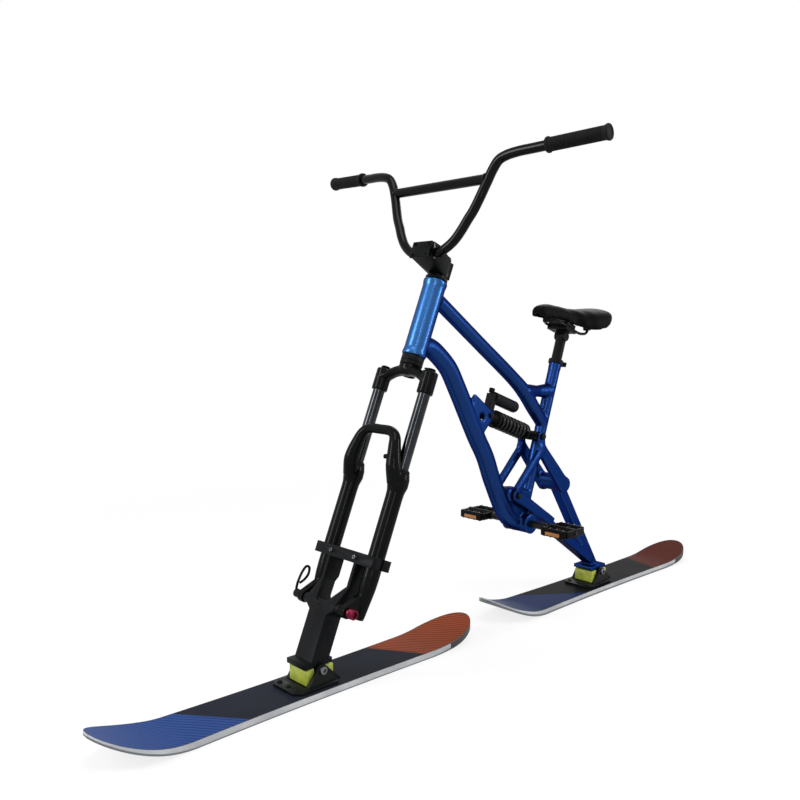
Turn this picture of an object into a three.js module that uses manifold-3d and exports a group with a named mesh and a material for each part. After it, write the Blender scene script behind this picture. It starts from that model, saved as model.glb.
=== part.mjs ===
// Ski bike: a steered front ski under a suspension fork, and a rear ski under a sprung swingarm.
// Millimetres. X points forward, Y to the rider's left, Z up, with the floor at Z 0.
import * as THREE from 'three';
import Module from 'manifold-3d';
import { mergeVertices } from 'three/addons/utils/BufferGeometryUtils.js';

const wasm = await Module();
wasm.setup();

// Fits shared by all pieces, and how finely round shapes are faceted.
const fit = { seat: 0.3, run: 1, overrun: 6 };
const facets = {
  small: 12, round: 18, tube: 16, wire: 8, band: 5, curve: 6, barSteps: 54, railSteps: 42, archSteps: 20,
  frameSteps: 22, leverSteps: 10, saddleArch: 8,
};

// Each ski is measured along the floor from its tail to its tip.
const ski = {
  length: 803, gapBetween: 63, thickness: 12.3, tipThickness: 8, waistWidth: 98.6, shoulderWidth: 112,
  tailWidth: 108, tipRun: 150, tipRise: 50, tipCurve: 1.8, tailRun: 150, tailRise: 27, tailCurve: 2,
  tipRound: 105, tailRound: 88, edgeBevel: 2.2, endWidth: 14, waistShare: 0.4926, bodyStations: 12,
  endStations: 10,
};

// Rocking mount between a ski and the leg that stands on it, measured from its pivot bolt.
const mount = {
  frontX: 429.5, rearX: -423.5, pivotHeight: 42, plateFront: 62, plateBack: 39, plateWidth: 80,
  plateThick: 5, plateCorner: 12, cheekThick: 6, cheekFront: 30, cheekBack: 38, cheekRound: 10,
  bumperNear: 12, bumperFar: 30, bumperWidth: 50, swing: THREE.MathUtils.degToRad(6), lugRound: 10,
  flangeRise: 6, flangeThick: 9, flangeFront: 34, flangeBack: 26, flangeWidth: 52, boltRadius: 4,
  boltHeadRadius: 7, boltHeadThick: 4.5,
};

// Steering axis: its foot is the lower end of the head tube.
const head = {
  x: 180.5, z: 578.5, tilt: THREE.MathUtils.degToRad(22.6), length: 157, radius: 22.4, bore: 18.3,
  cupRadius: 22, cupSpigot: 12, lowerCup: 19, upperCup: 6, bellRun: 14, bellGrow: 1.4,
};

// Fork, along the steering axis.
const fork = {
  steererRadius: 14.3, steererWall: 2.4, legForward: 4.5, legSpacing: 124.8, stanchionRadius: 11.6,
  stanchionWall: 2, crownHeight: 54, bossRadius: 15, bossDrop: 11, webDepth: 33, webThick: 21,
  webArch: 20, dipShare: 0.62, webDip: 1, exposed: 133.5, legRadius: 15.8, legLength: 286, floorThick: 14,
  topRadius: 16.6, collarRadius: 19.4, collarStart: 14, collarFull: 24, collarEnd: 44, collarLength: 58,
  stanchionOverlap: 168, archForward: 23, archRise: 83, archRadius: 8.6, rodRadius: 4,
  rodReachShare: 0.34, sealHeight: 8, sealLip: 15.6, axleDrop: 277, axleForward: 31.5, dropoutThick: 20,
  dropoutRound: 12, dropoutReach: 34, axleRadius: 4.5, knobRadius: 9, knobThick: 14, knobHeight: 6,
  tabThick: 4,
};

// Fork brace: shares of half the leg spacing, of its reach forward and of its rise.
const archShares = [[1.02, 0.3, 0], [1.1, 1, 0.26], [0.96, 1, 0.66], [0.58, 1, 0.95], [0, 1, 1]];

// Stem, handlebar and grips.
const bar = {
  spacer: 4, stemHeight: 38, stemRadius: 18, reach: 43, clampRise: 28, clampRadius: 17, clampWidth: 46,
  neckWidth: 32, neckRadius: 11, neckRise: 17, splitGap: 1, radius: 8.2, halfWidth: 356, rise: 190,
  sweep: 26.7, crossHeight: 131, crossRadius: 7.6, gripLength: 112, gripRadius: 12.4, flangeRadius: 14.3,
  flangeThick: 5, gripEnd: 4, capRadius: 16.5, capThick: 4,
};
// Half the bar's centre line: shares of its half width, its forward sweep and its rise.
const barPathShares = [
  [0, 0, 0], [0.08, 0, 0], [0.092, 0, 0], [0.134, 0.045, 0.031], [0.187, 0.11, 0.106], [0.228, 0.217, 0.206],
  [0.257, 0.307, 0.302], [0.288, 0.4, 0.398], [0.344, 0.674, 0.646], [0.376, 0.865, 0.775],
  [0.409, 1, 0.852], [0.452, 1.03, 0.886], [0.526, 0.981, 0.912], [0.6, 0.879, 0.926],
  [0.8, 0.61, 0.963], [1, 0.341, 1],
];

// Ski adapter: a post that carries the fork's axle and is clamped round both of its legs.
const adapter = {
  postForward: 28, postDepth: 36, postWidth: 48, postDrop: 143, shoulderDrop: 16, hubRadius: 9.6, hubLength: 99.4,
  prongForward: 8.8, prongOuter: 40, prongInner: 33.5, prongFootDrop: 5, flareLow: 5, flareHigh: 40,
  flareLag: 10, slotHalf: 8, slotAbove: -4, barDrop: 184, barHeight: 20, barDepth: 18, barWidth: 160,
  barCorner: 4, clampBoltSpread: 66, clampBoltRadius: 4, clampHeadRadius: 6.5, clampHeadThick: 5,
  leverRadius: 8, leverThick: 14, leverLength: 52, leverBar: 4,
};

// Main frame, measured from the centre of the foot-peg shell.
const frame = {
  shellX: -146.5, shellZ: 205, shellRadius: 21, shellLength: 68, shellBore: 8.6,
  seatTilt: THREE.MathUtils.degToRad(19.3), seatLength: 370, seatRadius: 13.6, seatBore: 12.2,
  seatBoreDepth: 185, topRadius: 12.6, topStart: 127.5, topMidShare: 0.5, topEndShare: 0.9, kneeAhead: 3,
  kneeAbove: 298, kneeTurnShare: 0.12, strutMidShare: 0.6, strutMeetShare: 0.611, bridgeStartShare: 0.14,
  bridgeMeetShare: 0.816, bridgeRadius: 12.5, downRadius: 19.2, webWidth: 28, hubRadius: 15,
  hubLength: 40, pivotAhead: 44, pivotAbove: 68, pivotRadius: 5,
};
// Down tube centre line: shares of the way from the shell to the head tube's foot, along X and up Z.
const downPathShares = [
  [0.955, 1.058], [0.866, 1.042], [0.771, 0.984], [0.703, 0.925], [0.636, 0.831], [0.448, 0.542],
  [0.363, 0.424], [0.284, 0.271], [0.132, 0.048], [0.03, 0],
];
// Web plate over the shell: shares of the way from the shell to the swingarm's pivot.
const webOutlineShares = [[0, 0], [1.05, 0.03], [2.05, 1.28], [0.48, 1.18], [-0.61, 0.96]];

// Shock absorber, measured along its own axis from the front eye.
const shock = {
  frontAhead: 120, frontAbove: 246, rearAhead: -37, rearAbove: 189, eyeRadius: 10.5, eyeWidth: 22,
  bodyRadius: 11.4, bodyBore: 9.2, bodyEnd: 95, boreStart: 19, collarRadius: 19.4, collarStart: 30,
  collarThick: 7, coilRadius: 16, wireRadius: 3.4, coilTurns: 7.5, coilEaseShare: 0.4, perchAt: 134,
  perchThick: 5, perchRadius: 18.6, shaftRadius: 5, pistonRadius: 8.8, pistonAt: 60, pistonThick: 8,
  reservoirOffset: 42, reservoirRadius: 12.8, reservoirStart: 12, reservoirLength: 81, reservoirDome: 6.8,
  bridgeStart: 0, bridgeLength: 15, bridgeWidth: 18, knobRadius: 6.5, knobThick: 11, knobStem: 4,
  boltRadius: 4.2, pinRadius: 5, pinClearance: 1.6,
};
const bracket = {
  cheekThick: 5, cheekRound: 11, footRound: 5, upperAhead: 46, upperRise: 38, lowerAhead: 20,
  lowerDrop: 27, webThick: 5, holeRadius: 6.5, holeAhead: 27, holeDrop: 3, webClear: 3,
};

// Swingarm: plates beside the seat tube, struts to the shock, and a lower and an upper arm to the ski.
const swing = {
  plateMid: 27.7, plateThick: 6.4, plateRound: 14, tailRound: 10, tailBack: 59, tailAbove: 6,
  strutRadius: 7, strutAbove: 16, vertexAhead: -38, vertexAbove: 160, vertexRound: 13, eyeRound: 11,
  stayRound: 11, stayThick: 10, yokeBack: 120, yokeAbove: 69, yokeRound: 14, yokeRiseShare: 0.14,
  upperWidth: 26, upperDepth: 24, upperBack: 11, armFrontHeight: 21, armRearHeight: 20, armWidth: 30,
  armRearAbove: 29, armHeadShare: 0.12, gussetWidth: 20, gussetLowShare: 0.62, gussetHighShare: 0.55,
};

// Saddle and post, along the seat tube from the shell.
const saddle = {
  postRadius: 11.9, postInsert: 145, postRise: 61, collarHeight: 10, collarRadius: 16.8, lugReach: 8,
  lugHalf: 6, camRadius: 4, leverRadius: 2.6, leverReach: 16, headWidth: 27, headRadius: 11,
  railSpread: 44, railRadius: 3.4, railRise: 20, railTilt: THREE.MathUtils.degToRad(19), railFront: 52,
  railBack: 60, loopRun: 8, noseLoopShare: 0.62, frontBend: 20.8, rearBend: 19.2, tailLift: 16,
  tailSpreadShare: 1.15, clampThick: 8, clampWidth: 54, clampLength: 30, cradleLength: 38, holderDrop: 6,
  holderLength: 16, noseRoofDrop: 6.5, rearRoofDrop: 20, noseAhead: 92, length: 222, topAbovePost: 64.2,
  coverThick: 9, shellThick: 4, leastHalf: 2, innerSagShare: 0.8, crownPower: 0.55,
};
const peg = {
  spindleRadius: 8, spindleHalf: 77, pinRadius: 5, pinHalf: 152, start: 80, width: 70, length: 71,
  height: 21, corner: 7, bore: 5.4,
};

const looks = {
  frameBlue: [0x1b3c8c, 0.3, 0.6], satinBlack: [0x17171a, 0.55, 0.3], glossBlack: [0x101012, 0.3, 0.2],
  polished: [0xb9bdc2, 0.2, 1], rubber: [0x161616, 0.9, 0], bumperGreen: [0x8f9636, 0.6, 0],
  redAnodised: [0x7a1230, 0.3, 0.8], skiWhite: [0xc9ccd0, 0.45, 0], vinyl: [0x141415, 0.5, 0],
  spring: [0x1a1a1c, 0.35, 0.6], steel: [0x85888c, 0.35, 0.9],
};

// One material for each look, made when a piece first needs it.
function look(name) {
  const [color, roughness, metalness] = looks[name];
  return new THREE.MeshStandardMaterial({ name, color, roughness, metalness });
}

// Turns any closed three.js geometry into a solid that can be joined or cut.
function solid(geometry) {
  const bare = geometry.clone();
  bare.deleteAttribute('normal');
  bare.deleteAttribute('uv');
  const merged = mergeVertices(bare, 1e-4);
  const points = merged.attributes.position;
  const kept = [];
  for (let i = 0; i < merged.index.count; i += 3) {
    const corner = [0, 1, 2].map((k) => merged.index.getX(i + k));
    if (new Set(corner).size === 3) kept.push(corner);
  }
  const at = (i) => new THREE.Vector3().fromBufferAttribute(points, i);
  const volume = kept.reduce((sum, [a, b, c]) => sum + at(a).dot(at(b).cross(at(c))), 0);
  const triVerts = new Uint32Array(kept.flatMap(([a, b, c]) => (volume < 0 ? [a, c, b] : [a, b, c])));
  const vertProperties = new Float32Array(points.array);
  return new wasm.Manifold(new wasm.Mesh({ numProp: 3, vertProperties, triVerts }));
}

// Turns a joined or cut solid back into a three.js geometry.
function surface(body) {
  const { vertProperties, triVerts } = body.getMesh();
  const geometry = new THREE.BufferGeometry();
  geometry.setAttribute('position', new THREE.BufferAttribute(new Float32Array(vertProperties), 3));
  geometry.setIndex(new THREE.BufferAttribute(new Uint32Array(triVerts), 1));
  geometry.computeVertexNormals();
  return geometry;
}

const joined = (pieces) => surface(pieces.map(solid).reduce((a, b) => a.add(b)));
const cut = (piece, tools) => surface(tools.map(solid).reduce((a, b) => a.subtract(b), solid(piece)));
const common = (piece, other) => surface(solid(piece).intersect(solid(other)));

const v3 = (x, y, z) => new THREE.Vector3(x, y, z);
const side = { left: 1, right: -1 };

// A closed outline drawn in X and Z, extruded evenly to both sides of the given Y.
function plate(outline, middleY, width) {
  const options = { depth: width, bevelEnabled: false, curveSegments: facets.curve };
  const geometry = new THREE.ExtrudeGeometry(outline, options);
  geometry.rotateX(Math.PI / 2);
  geometry.translate(0, middleY + width / 2, 0);
  return geometry;
}

// A closed outline drawn in Y and Z, extruded from one X to another.
function slab(outline, fromX, toX) {
  const geometry = new THREE.ExtrudeGeometry(outline, {
    depth: toX - fromX, bevelEnabled: false, curveSegments: facets.curve,
  });
  geometry.applyMatrix4(new THREE.Matrix4().makeBasis(v3(0, 1, 0), v3(0, 0, 1), v3(1, 0, 0)));
  geometry.translate(fromX, 0, 0);
  return geometry;
}

// The outline of a band stretched round circles given as [x, z, radius], in anticlockwise order.
function band(circles) {
  const steps = facets.band;
  const outline = [];
  circles.forEach(([x, z, r], i) => {
    const before = circles[(i + circles.length - 1) % circles.length];
    const after = circles[(i + 1) % circles.length];
    const start = tangentAngle(before, [x, z, r]);
    let end = tangentAngle([x, z, r], after);
    while (end < start) end += 2 * Math.PI;
    for (let k = 0; k <= steps; k += 1) {
      const angle = start + ((end - start) * k) / steps;
      outline.push(new THREE.Vector2(x + r * Math.cos(angle), z + r * Math.sin(angle)));
    }
  });
  return new THREE.Shape(outline);
}

// Direction from each circle's centre to where the outer tangent from a to b touches it.
function tangentAngle(a, b) {
  const heading = Math.atan2(b[1] - a[1], b[0] - a[0]);
  const spread = Math.asin((b[2] - a[2]) / Math.hypot(b[0] - a[0], b[1] - a[1]));
  return heading - Math.PI / 2 - spread;
}

// A turned piece: the profile holds [radius, distance] pairs along the line from start towards end.
function turned(profile, start, end, sides = facets.round) {
  const geometry = new THREE.LatheGeometry(profile.map(([r, d]) => new THREE.Vector2(r, d)), sides);
  const along = end.clone().sub(start).normalize();
  geometry.applyQuaternion(new THREE.Quaternion().setFromUnitVectors(v3(0, 1, 0), along));
  geometry.translate(start.x, start.y, start.z);
  return geometry;
}

const rod = (radius, start, end, sides) => {
  const length = start.distanceTo(end);
  return turned([[0, 0], [radius, 0], [radius, length], [0, length]], start, end, sides);
};

const ring = (inner, outer, start, end, sides) => {
  const length = start.distanceTo(end);
  return turned([[inner, 0], [outer, 0], [outer, length], [inner, length], [inner, 0]], start, end, sides);
};

// A bolt across the bike: its shank with a head at each end.
function crossBolt(x, z, shank, reach, headRadius, headThick) {
  const end = reach + headThick;
  const profile = [[0, 0], [headRadius, 0], [headRadius, headThick], [shank, headThick],
    [shank, headThick + 2 * reach], [headRadius, headThick + 2 * reach], [headRadius, 2 * end], [0, 2 * end]];
  return turned(profile, v3(x, -end, z), v3(x, end, z), facets.small);
}

// A round tube along a smooth curve through points.
function bentTube(points, radius, steps, sides = facets.tube) {
  const outline = new THREE.Shape();
  outline.absarc(0, 0, radius, 0, 2 * Math.PI);
  const section = new THREE.Shape(outline.getSpacedPoints(sides).slice(0, sides));
  const extrudePath = new THREE.CatmullRomCurve3(points, false, 'centripetal');
  return new THREE.ExtrudeGeometry(section, { steps, extrudePath });
}

// Box between two corners.
function block(low, high) {
  const geometry = new THREE.BoxGeometry(high.x - low.x, high.y - low.y, high.z - low.z);
  geometry.translate((low.x + high.x) / 2, (low.y + high.y) / 2, (low.z + high.z) / 2);
  return geometry;
}

// A skin through rings of equal point counts, closed by a flat cap at each end.
function loft(rings) {
  const count = rings[0].length;
  const index = [];
  for (let i = 0; i + 1 < rings.length; i += 1) {
    for (let k = 0; k < count; k += 1) {
      const next = (k + 1) % count;
      const [a, b, c, d] = [i * count + k, i * count + next, (i + 1) * count + next, (i + 1) * count + k];
      index.push(a, b, c, a, c, d);
    }
  }
  const last = (rings.length - 1) * count;
  // Each end is closed by a ladder of triangles between opposite points, which suits hollow arches too.
  for (let k = 0; k < count - 2 - k; k += 1) {
    const [a, b, c, d] = [k, k + 1, count - 2 - k, count - 1 - k];
    index.push(a, d, c, last + a, last + c, last + d);
    if (b !== c) index.push(a, c, b, last + a, last + b, last + c);
  }
  const geometry = new THREE.BufferGeometry();
  const points = rings.flat().flatMap((p) => p.toArray());
  geometry.setAttribute('position', new THREE.Float32BufferAttribute(points, 3));
  geometry.setIndex(index);
  return surface(solid(geometry));
}

const bike = new THREE.Group();
const steering = new THREE.Group();
steering.position.set(head.x, 0, head.z);
steering.rotation.y = -head.tilt;
steering.updateMatrixWorld();
bike.add(steering);
const toBike = (geometry) => geometry.clone().applyMatrix4(steering.matrixWorld);

function add(group, name, geometry, material) {
  const mesh = new THREE.Mesh(geometry, look(material));
  mesh.name = name;
  group.add(mesh);
}

// Ski

// Half the ski's width at a distance from its tail.
function skiHalfWidth(t) {
  const middle = ski.length * ski.waistShare;
  const fromEnd = t < middle ? t : ski.length - t;
  const roundRun = t < middle ? ski.tailRound : ski.tipRound;
  const endWidth = t < middle ? ski.tailWidth : ski.shoulderWidth;
  const span = (t < middle ? middle : ski.length - middle) - roundRun;
  const away = Math.min(1, Math.abs(t - middle) / span);
  const cutWidth = ski.waistWidth + (endWidth - ski.waistWidth) * away * away;
  if (fromEnd >= roundRun) return cutWidth / 2;
  const lack = 1 - fromEnd / roundRun;
  return Math.max(ski.endWidth, cutWidth * Math.sqrt(1 - lack * lack)) / 2;
}

// Height of the ski's sole above the floor.
function skiRise(t) {
  const intoTip = Math.max(0, t - (ski.length - ski.tipRun)) / ski.tipRun;
  const intoTail = Math.max(0, ski.tailRun - t) / ski.tailRun;
  return ski.tipRise * intoTip ** ski.tipCurve + ski.tailRise * intoTail ** ski.tailCurve;
}

function skiGeometry(tailX) {
  const stations = [];
  for (let k = 0; k < ski.endStations; k += 1) {
    stations.push(ski.tailRun * (1 - Math.cos((Math.PI / 2) * (k / ski.endStations))));
  }
  for (let k = 0; k < ski.bodyStations; k += 1) {
    stations.push(ski.tailRun + ((ski.length - ski.tailRun - ski.tipRun) * k) / ski.bodyStations);
  }
  for (let k = 0; k <= ski.endStations; k += 1) {
    stations.push(ski.length - ski.tipRun * (1 - Math.sin((Math.PI / 2) * (k / ski.endStations))));
  }
  return loft(stations.map((t) => {
    const half = skiHalfWidth(t);
    const low = skiRise(t);
    const thin = Math.max(0, t - (ski.length - ski.tipRun)) / ski.tipRun;
    const high = low + ski.thickness - (ski.thickness - ski.tipThickness) * thin;
    const x = tailX + t;
    const [edge, inner] = [high - ski.edgeBevel, half - ski.edgeBevel];
    return [v3(x, -half, low), v3(x, half, low), v3(x, half, edge), v3(x, inner, high), v3(x, -inner, high),
      v3(x, -half, edge)];
  }));
}

// Base plate and two cheeks that hold the pivot bolt on a ski.
function mountGeometry(pivotX) {
  const top = ski.thickness + mount.plateThick;
  const plan = new THREE.Shape();
  const [front, back, half] = [pivotX + mount.plateFront, pivotX - mount.plateBack, mount.plateWidth / 2];
  plan.moveTo(back + mount.plateCorner, -half);
  plan.lineTo(front - mount.plateCorner, -half);
  plan.lineTo(front, mount.plateCorner - half);
  plan.lineTo(front, half - mount.plateCorner);
  plan.lineTo(front - mount.plateCorner, half);
  plan.lineTo(back + mount.plateCorner, half);
  plan.lineTo(back, half - mount.plateCorner);
  plan.lineTo(back, mount.plateCorner - half);
  const base = new THREE.ExtrudeGeometry(plan, { depth: mount.plateThick - fit.seat, bevelEnabled: false });
  base.translate(0, 0, ski.thickness + fit.seat);
  const cheekMiddle = mount.flangeWidth / 2 + fit.run + mount.cheekThick / 2;
  const cheek = band([[pivotX - mount.cheekBack, top, fit.run], [pivotX + mount.cheekFront, top, fit.run],
    [pivotX, mount.pivotHeight, mount.cheekRound]]);
  const reach = v3(0, mount.plateWidth, 0);
  const bore = rod(mount.boltRadius + fit.seat, v3(pivotX, 0, mount.pivotHeight).sub(reach),
    v3(pivotX, 0, mount.pivotHeight).add(reach), facets.small);
  const cheeks = Object.values(side).map((s) => plate(cheek, s * cheekMiddle, mount.cheekThick));
  return cut(joined([base, ...cheeks]), [bore]);
}

// Elastomer block beside the pivot: its top slopes so that the leg's flange meets it at full swing.
function bumperGeometry(pivotX, direction) {
  const low = ski.thickness + mount.plateThick + fit.seat;
  const flange = mount.pivotHeight + mount.flangeRise;
  const heightAt = (d) => flange - d * Math.tan(mount.swing) - fit.seat;
  const outline = new THREE.Shape();
  outline.moveTo(pivotX + direction * mount.bumperNear, low);
  outline.lineTo(pivotX + direction * mount.bumperFar, low);
  outline.lineTo(pivotX + direction * mount.bumperFar, heightAt(mount.bumperFar));
  outline.lineTo(pivotX + direction * mount.bumperNear, heightAt(mount.bumperNear));
  return plate(outline, 0, mount.bumperWidth);
}

// Foot of a leg: a flange over both bumpers and the lug that hangs on the pivot bolt.
function footPieces(pivotX) {
  const low = mount.pivotHeight + mount.flangeRise;
  const half = mount.flangeWidth / 2;
  const flange = block(v3(pivotX - mount.flangeBack, -half, low),
    v3(pivotX + mount.flangeFront, half, low + mount.flangeThick));
  const lug = band([[pivotX, mount.pivotHeight, mount.lugRound], [pivotX, low + fit.run, mount.lugRound]]);
  return [flange, plate(lug, 0, mount.bumperWidth)];
}

const footBore = (pivotX) => {
  const reach = v3(0, mount.plateWidth, 0);
  const middle = v3(pivotX, 0, mount.pivotHeight);
  return rod(mount.boltRadius + fit.seat, middle.clone().sub(reach), middle.clone().add(reach), facets.small);
};

function addSki(name, tailX, pivotX) {
  const boltReach = mount.flangeWidth / 2 + fit.run + mount.cheekThick + fit.seat;
  add(bike, `${name}_ski`, skiGeometry(tailX), 'skiWhite');
  add(bike, `${name}_ski_mount`, mountGeometry(pivotX), 'satinBlack');
  add(bike, `${name}_bumper_fore`, bumperGeometry(pivotX, 1), 'bumperGreen');
  add(bike, `${name}_bumper_aft`, bumperGeometry(pivotX, -1), 'bumperGreen');
  add(bike, `${name}_pivot_bolt`, crossBolt(pivotX, mount.pivotHeight, mount.boltRadius, boltReach,
    mount.boltHeadRadius, mount.boltHeadThick), 'polished');
}

addSki('front', ski.gapBetween / 2, mount.frontX);
addSki('rear', -ski.gapBetween / 2 - ski.length, mount.rearX);

// Fork

const legTop = -(head.lowerCup + fit.seat) - fork.crownHeight - fork.exposed;
const crownTop = -head.lowerCup - 2 * fit.seat;
const crownLow = crownTop - fork.crownHeight;
const legSides = Object.entries(side).map(([name, s]) => ({ name, y: (s * fork.legSpacing) / 2 }));
const legRod = (radius, y, low, high, sides) =>
  rod(radius, v3(fork.legForward, y, low), v3(fork.legForward, y, high), sides);

function crownGeometry() {
  const half = fork.legSpacing / 2;
  const archTop = crownTop - fork.webThick;
  const web = new THREE.Shape();
  web.moveTo(-half, crownTop - fork.bossDrop);
  web.lineTo(-half, crownLow + fork.webArch);
  web.lineTo(fork.bossRadius - half, crownLow + fork.webArch / 2);
  web.quadraticCurveTo(fork.bossRadius - half, archTop, 0, archTop);
  web.quadraticCurveTo(half - fork.bossRadius, archTop, half - fork.bossRadius, crownLow + fork.webArch / 2);
  web.lineTo(half, crownLow + fork.webArch);
  web.lineTo(half, crownTop - fork.bossDrop);
  web.lineTo(half * fork.dipShare, crownTop - fork.bossDrop - fork.webDip);
  web.lineTo(head.cupRadius, crownTop);
  web.lineTo(-head.cupRadius, crownTop);
  web.lineTo(-half * fork.dipShare, crownTop - fork.bossDrop - fork.webDip);
  const bosses = legSides.map(({ y }) => legRod(fork.bossRadius, y, crownLow, crownTop - fork.bossDrop));
  const hub = rod(head.cupRadius, v3(0, 0, archTop), v3(0, 0, crownTop));
  const webFront = fork.legForward + fork.webDepth / 2;
  const body = joined([slab(web, webFront - fork.webDepth, webFront), ...bosses, hub]);
  const boreTop = crownTop - fork.bossDrop + fit.overrun;
  const bores = legSides.map(({ y }) =>
    legRod(fork.stanchionRadius + fit.seat, y, crownLow - fit.overrun, boreTop));
  const steererBore = rod(fork.steererRadius + fit.seat, v3(0, 0, archTop - fit.overrun),
    v3(0, 0, crownTop + fit.overrun));
  return cut(body, [...bores, steererBore]);
}

const barCentre = v3(bar.reach, 0, head.length + fit.seat + head.upperCup + bar.spacer + bar.clampRise);
const stemLow = head.length + head.upperCup + bar.spacer + 2 * fit.seat;
const stemTop = stemLow + bar.stemHeight;

// Open tube with one closed end, as a stanchion, or closed at neither end.
function addSteeringTubes() {
  const steererLow = crownTop - fork.webThick + fit.seat;
  add(steering, 'steerer_tube', ring(fork.steererRadius - fork.steererWall, fork.steererRadius,
    v3(0, 0, steererLow), v3(0, 0, stemTop - fit.run)), 'steel');
  for (const { name, y } of legSides) {
    const high = crownTop - fork.bossDrop - fit.seat;
    const low = legTop - fork.stanchionOverlap;
    add(steering, `stanchion_${name}`, ring(fork.stanchionRadius - fork.stanchionWall, fork.stanchionRadius,
      v3(fork.legForward, y, low), v3(fork.legForward, y, high)), 'polished');
  }
}

function lowersGeometry() {
  const half = fork.legSpacing / 2;
  const legLow = legTop - fork.legLength;
  const axle = v3(fork.legForward + fork.axleForward, 0, legTop - fork.axleDrop);
  const length = fork.legLength;
  const legProfile = [[0, 0], [fork.legRadius, 0], [fork.legRadius, length - fork.collarLength],
    [fork.collarRadius, length - fork.collarEnd], [fork.collarRadius, length - fork.collarFull],
    [fork.topRadius, length - fork.collarStart], [fork.topRadius, length], [0, length]];
  const legs = legSides.map(({ y }) => turned(legProfile, v3(fork.legForward, y, legLow),
    v3(fork.legForward, y, legTop)));
  // The brace swings out ahead of the legs and over, so that the crown can dive behind it.
  const archFoot = legTop - (fork.collarFull + fork.collarEnd) / 2;
  const archPoints = archShares.map(([spread, forward, rise]) =>
    v3(fork.legForward + fork.archForward * forward, half * spread, archFoot + fork.archRise * rise));
  const mirrored = archPoints.slice(0, -1).map((p) => v3(p.x, -p.y, p.z));
  const archPath = [...mirrored, ...archPoints.reverse()];
  const arch = bentTube(archPath, fork.archRadius, facets.archSteps, facets.small);
  const dropouts = legSides.map(({ y }) => {
    const inner = adapter.hubLength / 2 + fit.seat;
    const middle = Math.sign(y) * (inner + fork.dropoutThick / 2);
    const outline = band([[fork.legForward, legLow + fork.dropoutRound, fork.dropoutRound],
      [axle.x, axle.z, fork.dropoutRound], [fork.legForward, legLow + fork.dropoutReach, fork.dropoutRound]]);
    return plate(outline, middle, fork.dropoutThick);
  });
  const bores = legSides.map(({ y }) =>
    legRod(fork.stanchionRadius + fit.seat, y, legLow + fork.floorThick, legTop + fit.overrun));
  const rodSeats = legSides.map(({ y }) =>
    legRod(fork.rodRadius + fit.seat, y, legLow + fork.floorThick / 2, legTop));
  const axleBore = rod(fork.axleRadius + fit.seat, axle.clone().setY(-fork.legSpacing),
    axle.clone().setY(fork.legSpacing), facets.small);
  return cut(joined([...legs, arch, ...dropouts]), [...bores, ...rodSeats, axleBore]);
}

function addLowers() {
  const legLow = legTop - fork.legLength;
  add(steering, 'fork_lowers', lowersGeometry(), 'satinBlack');
  for (const { name, y } of legSides) {
    const at = (z) => v3(fork.legForward, y, z);
    add(steering, `wiper_seal_${name}`, turned([[fork.stanchionRadius + fit.seat, 0], [fork.sealLip, 0],
      [fork.sealLip, fork.sealHeight / 2], [fork.stanchionRadius + fit.run, fork.sealHeight],
      [fork.stanchionRadius + fit.seat, fork.sealHeight], [fork.stanchionRadius + fit.seat, 0]],
    at(legTop + fit.seat), at(legTop + fork.sealHeight)), 'rubber');
    const rodTop = legTop - fork.stanchionOverlap * fork.rodReachShare;
    add(steering, `fork_rod_${name}`, rod(fork.rodRadius, at(legLow + fork.floorThick / 2 + fit.seat),
      at(rodTop), facets.small), 'steel');
  }
}

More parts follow.
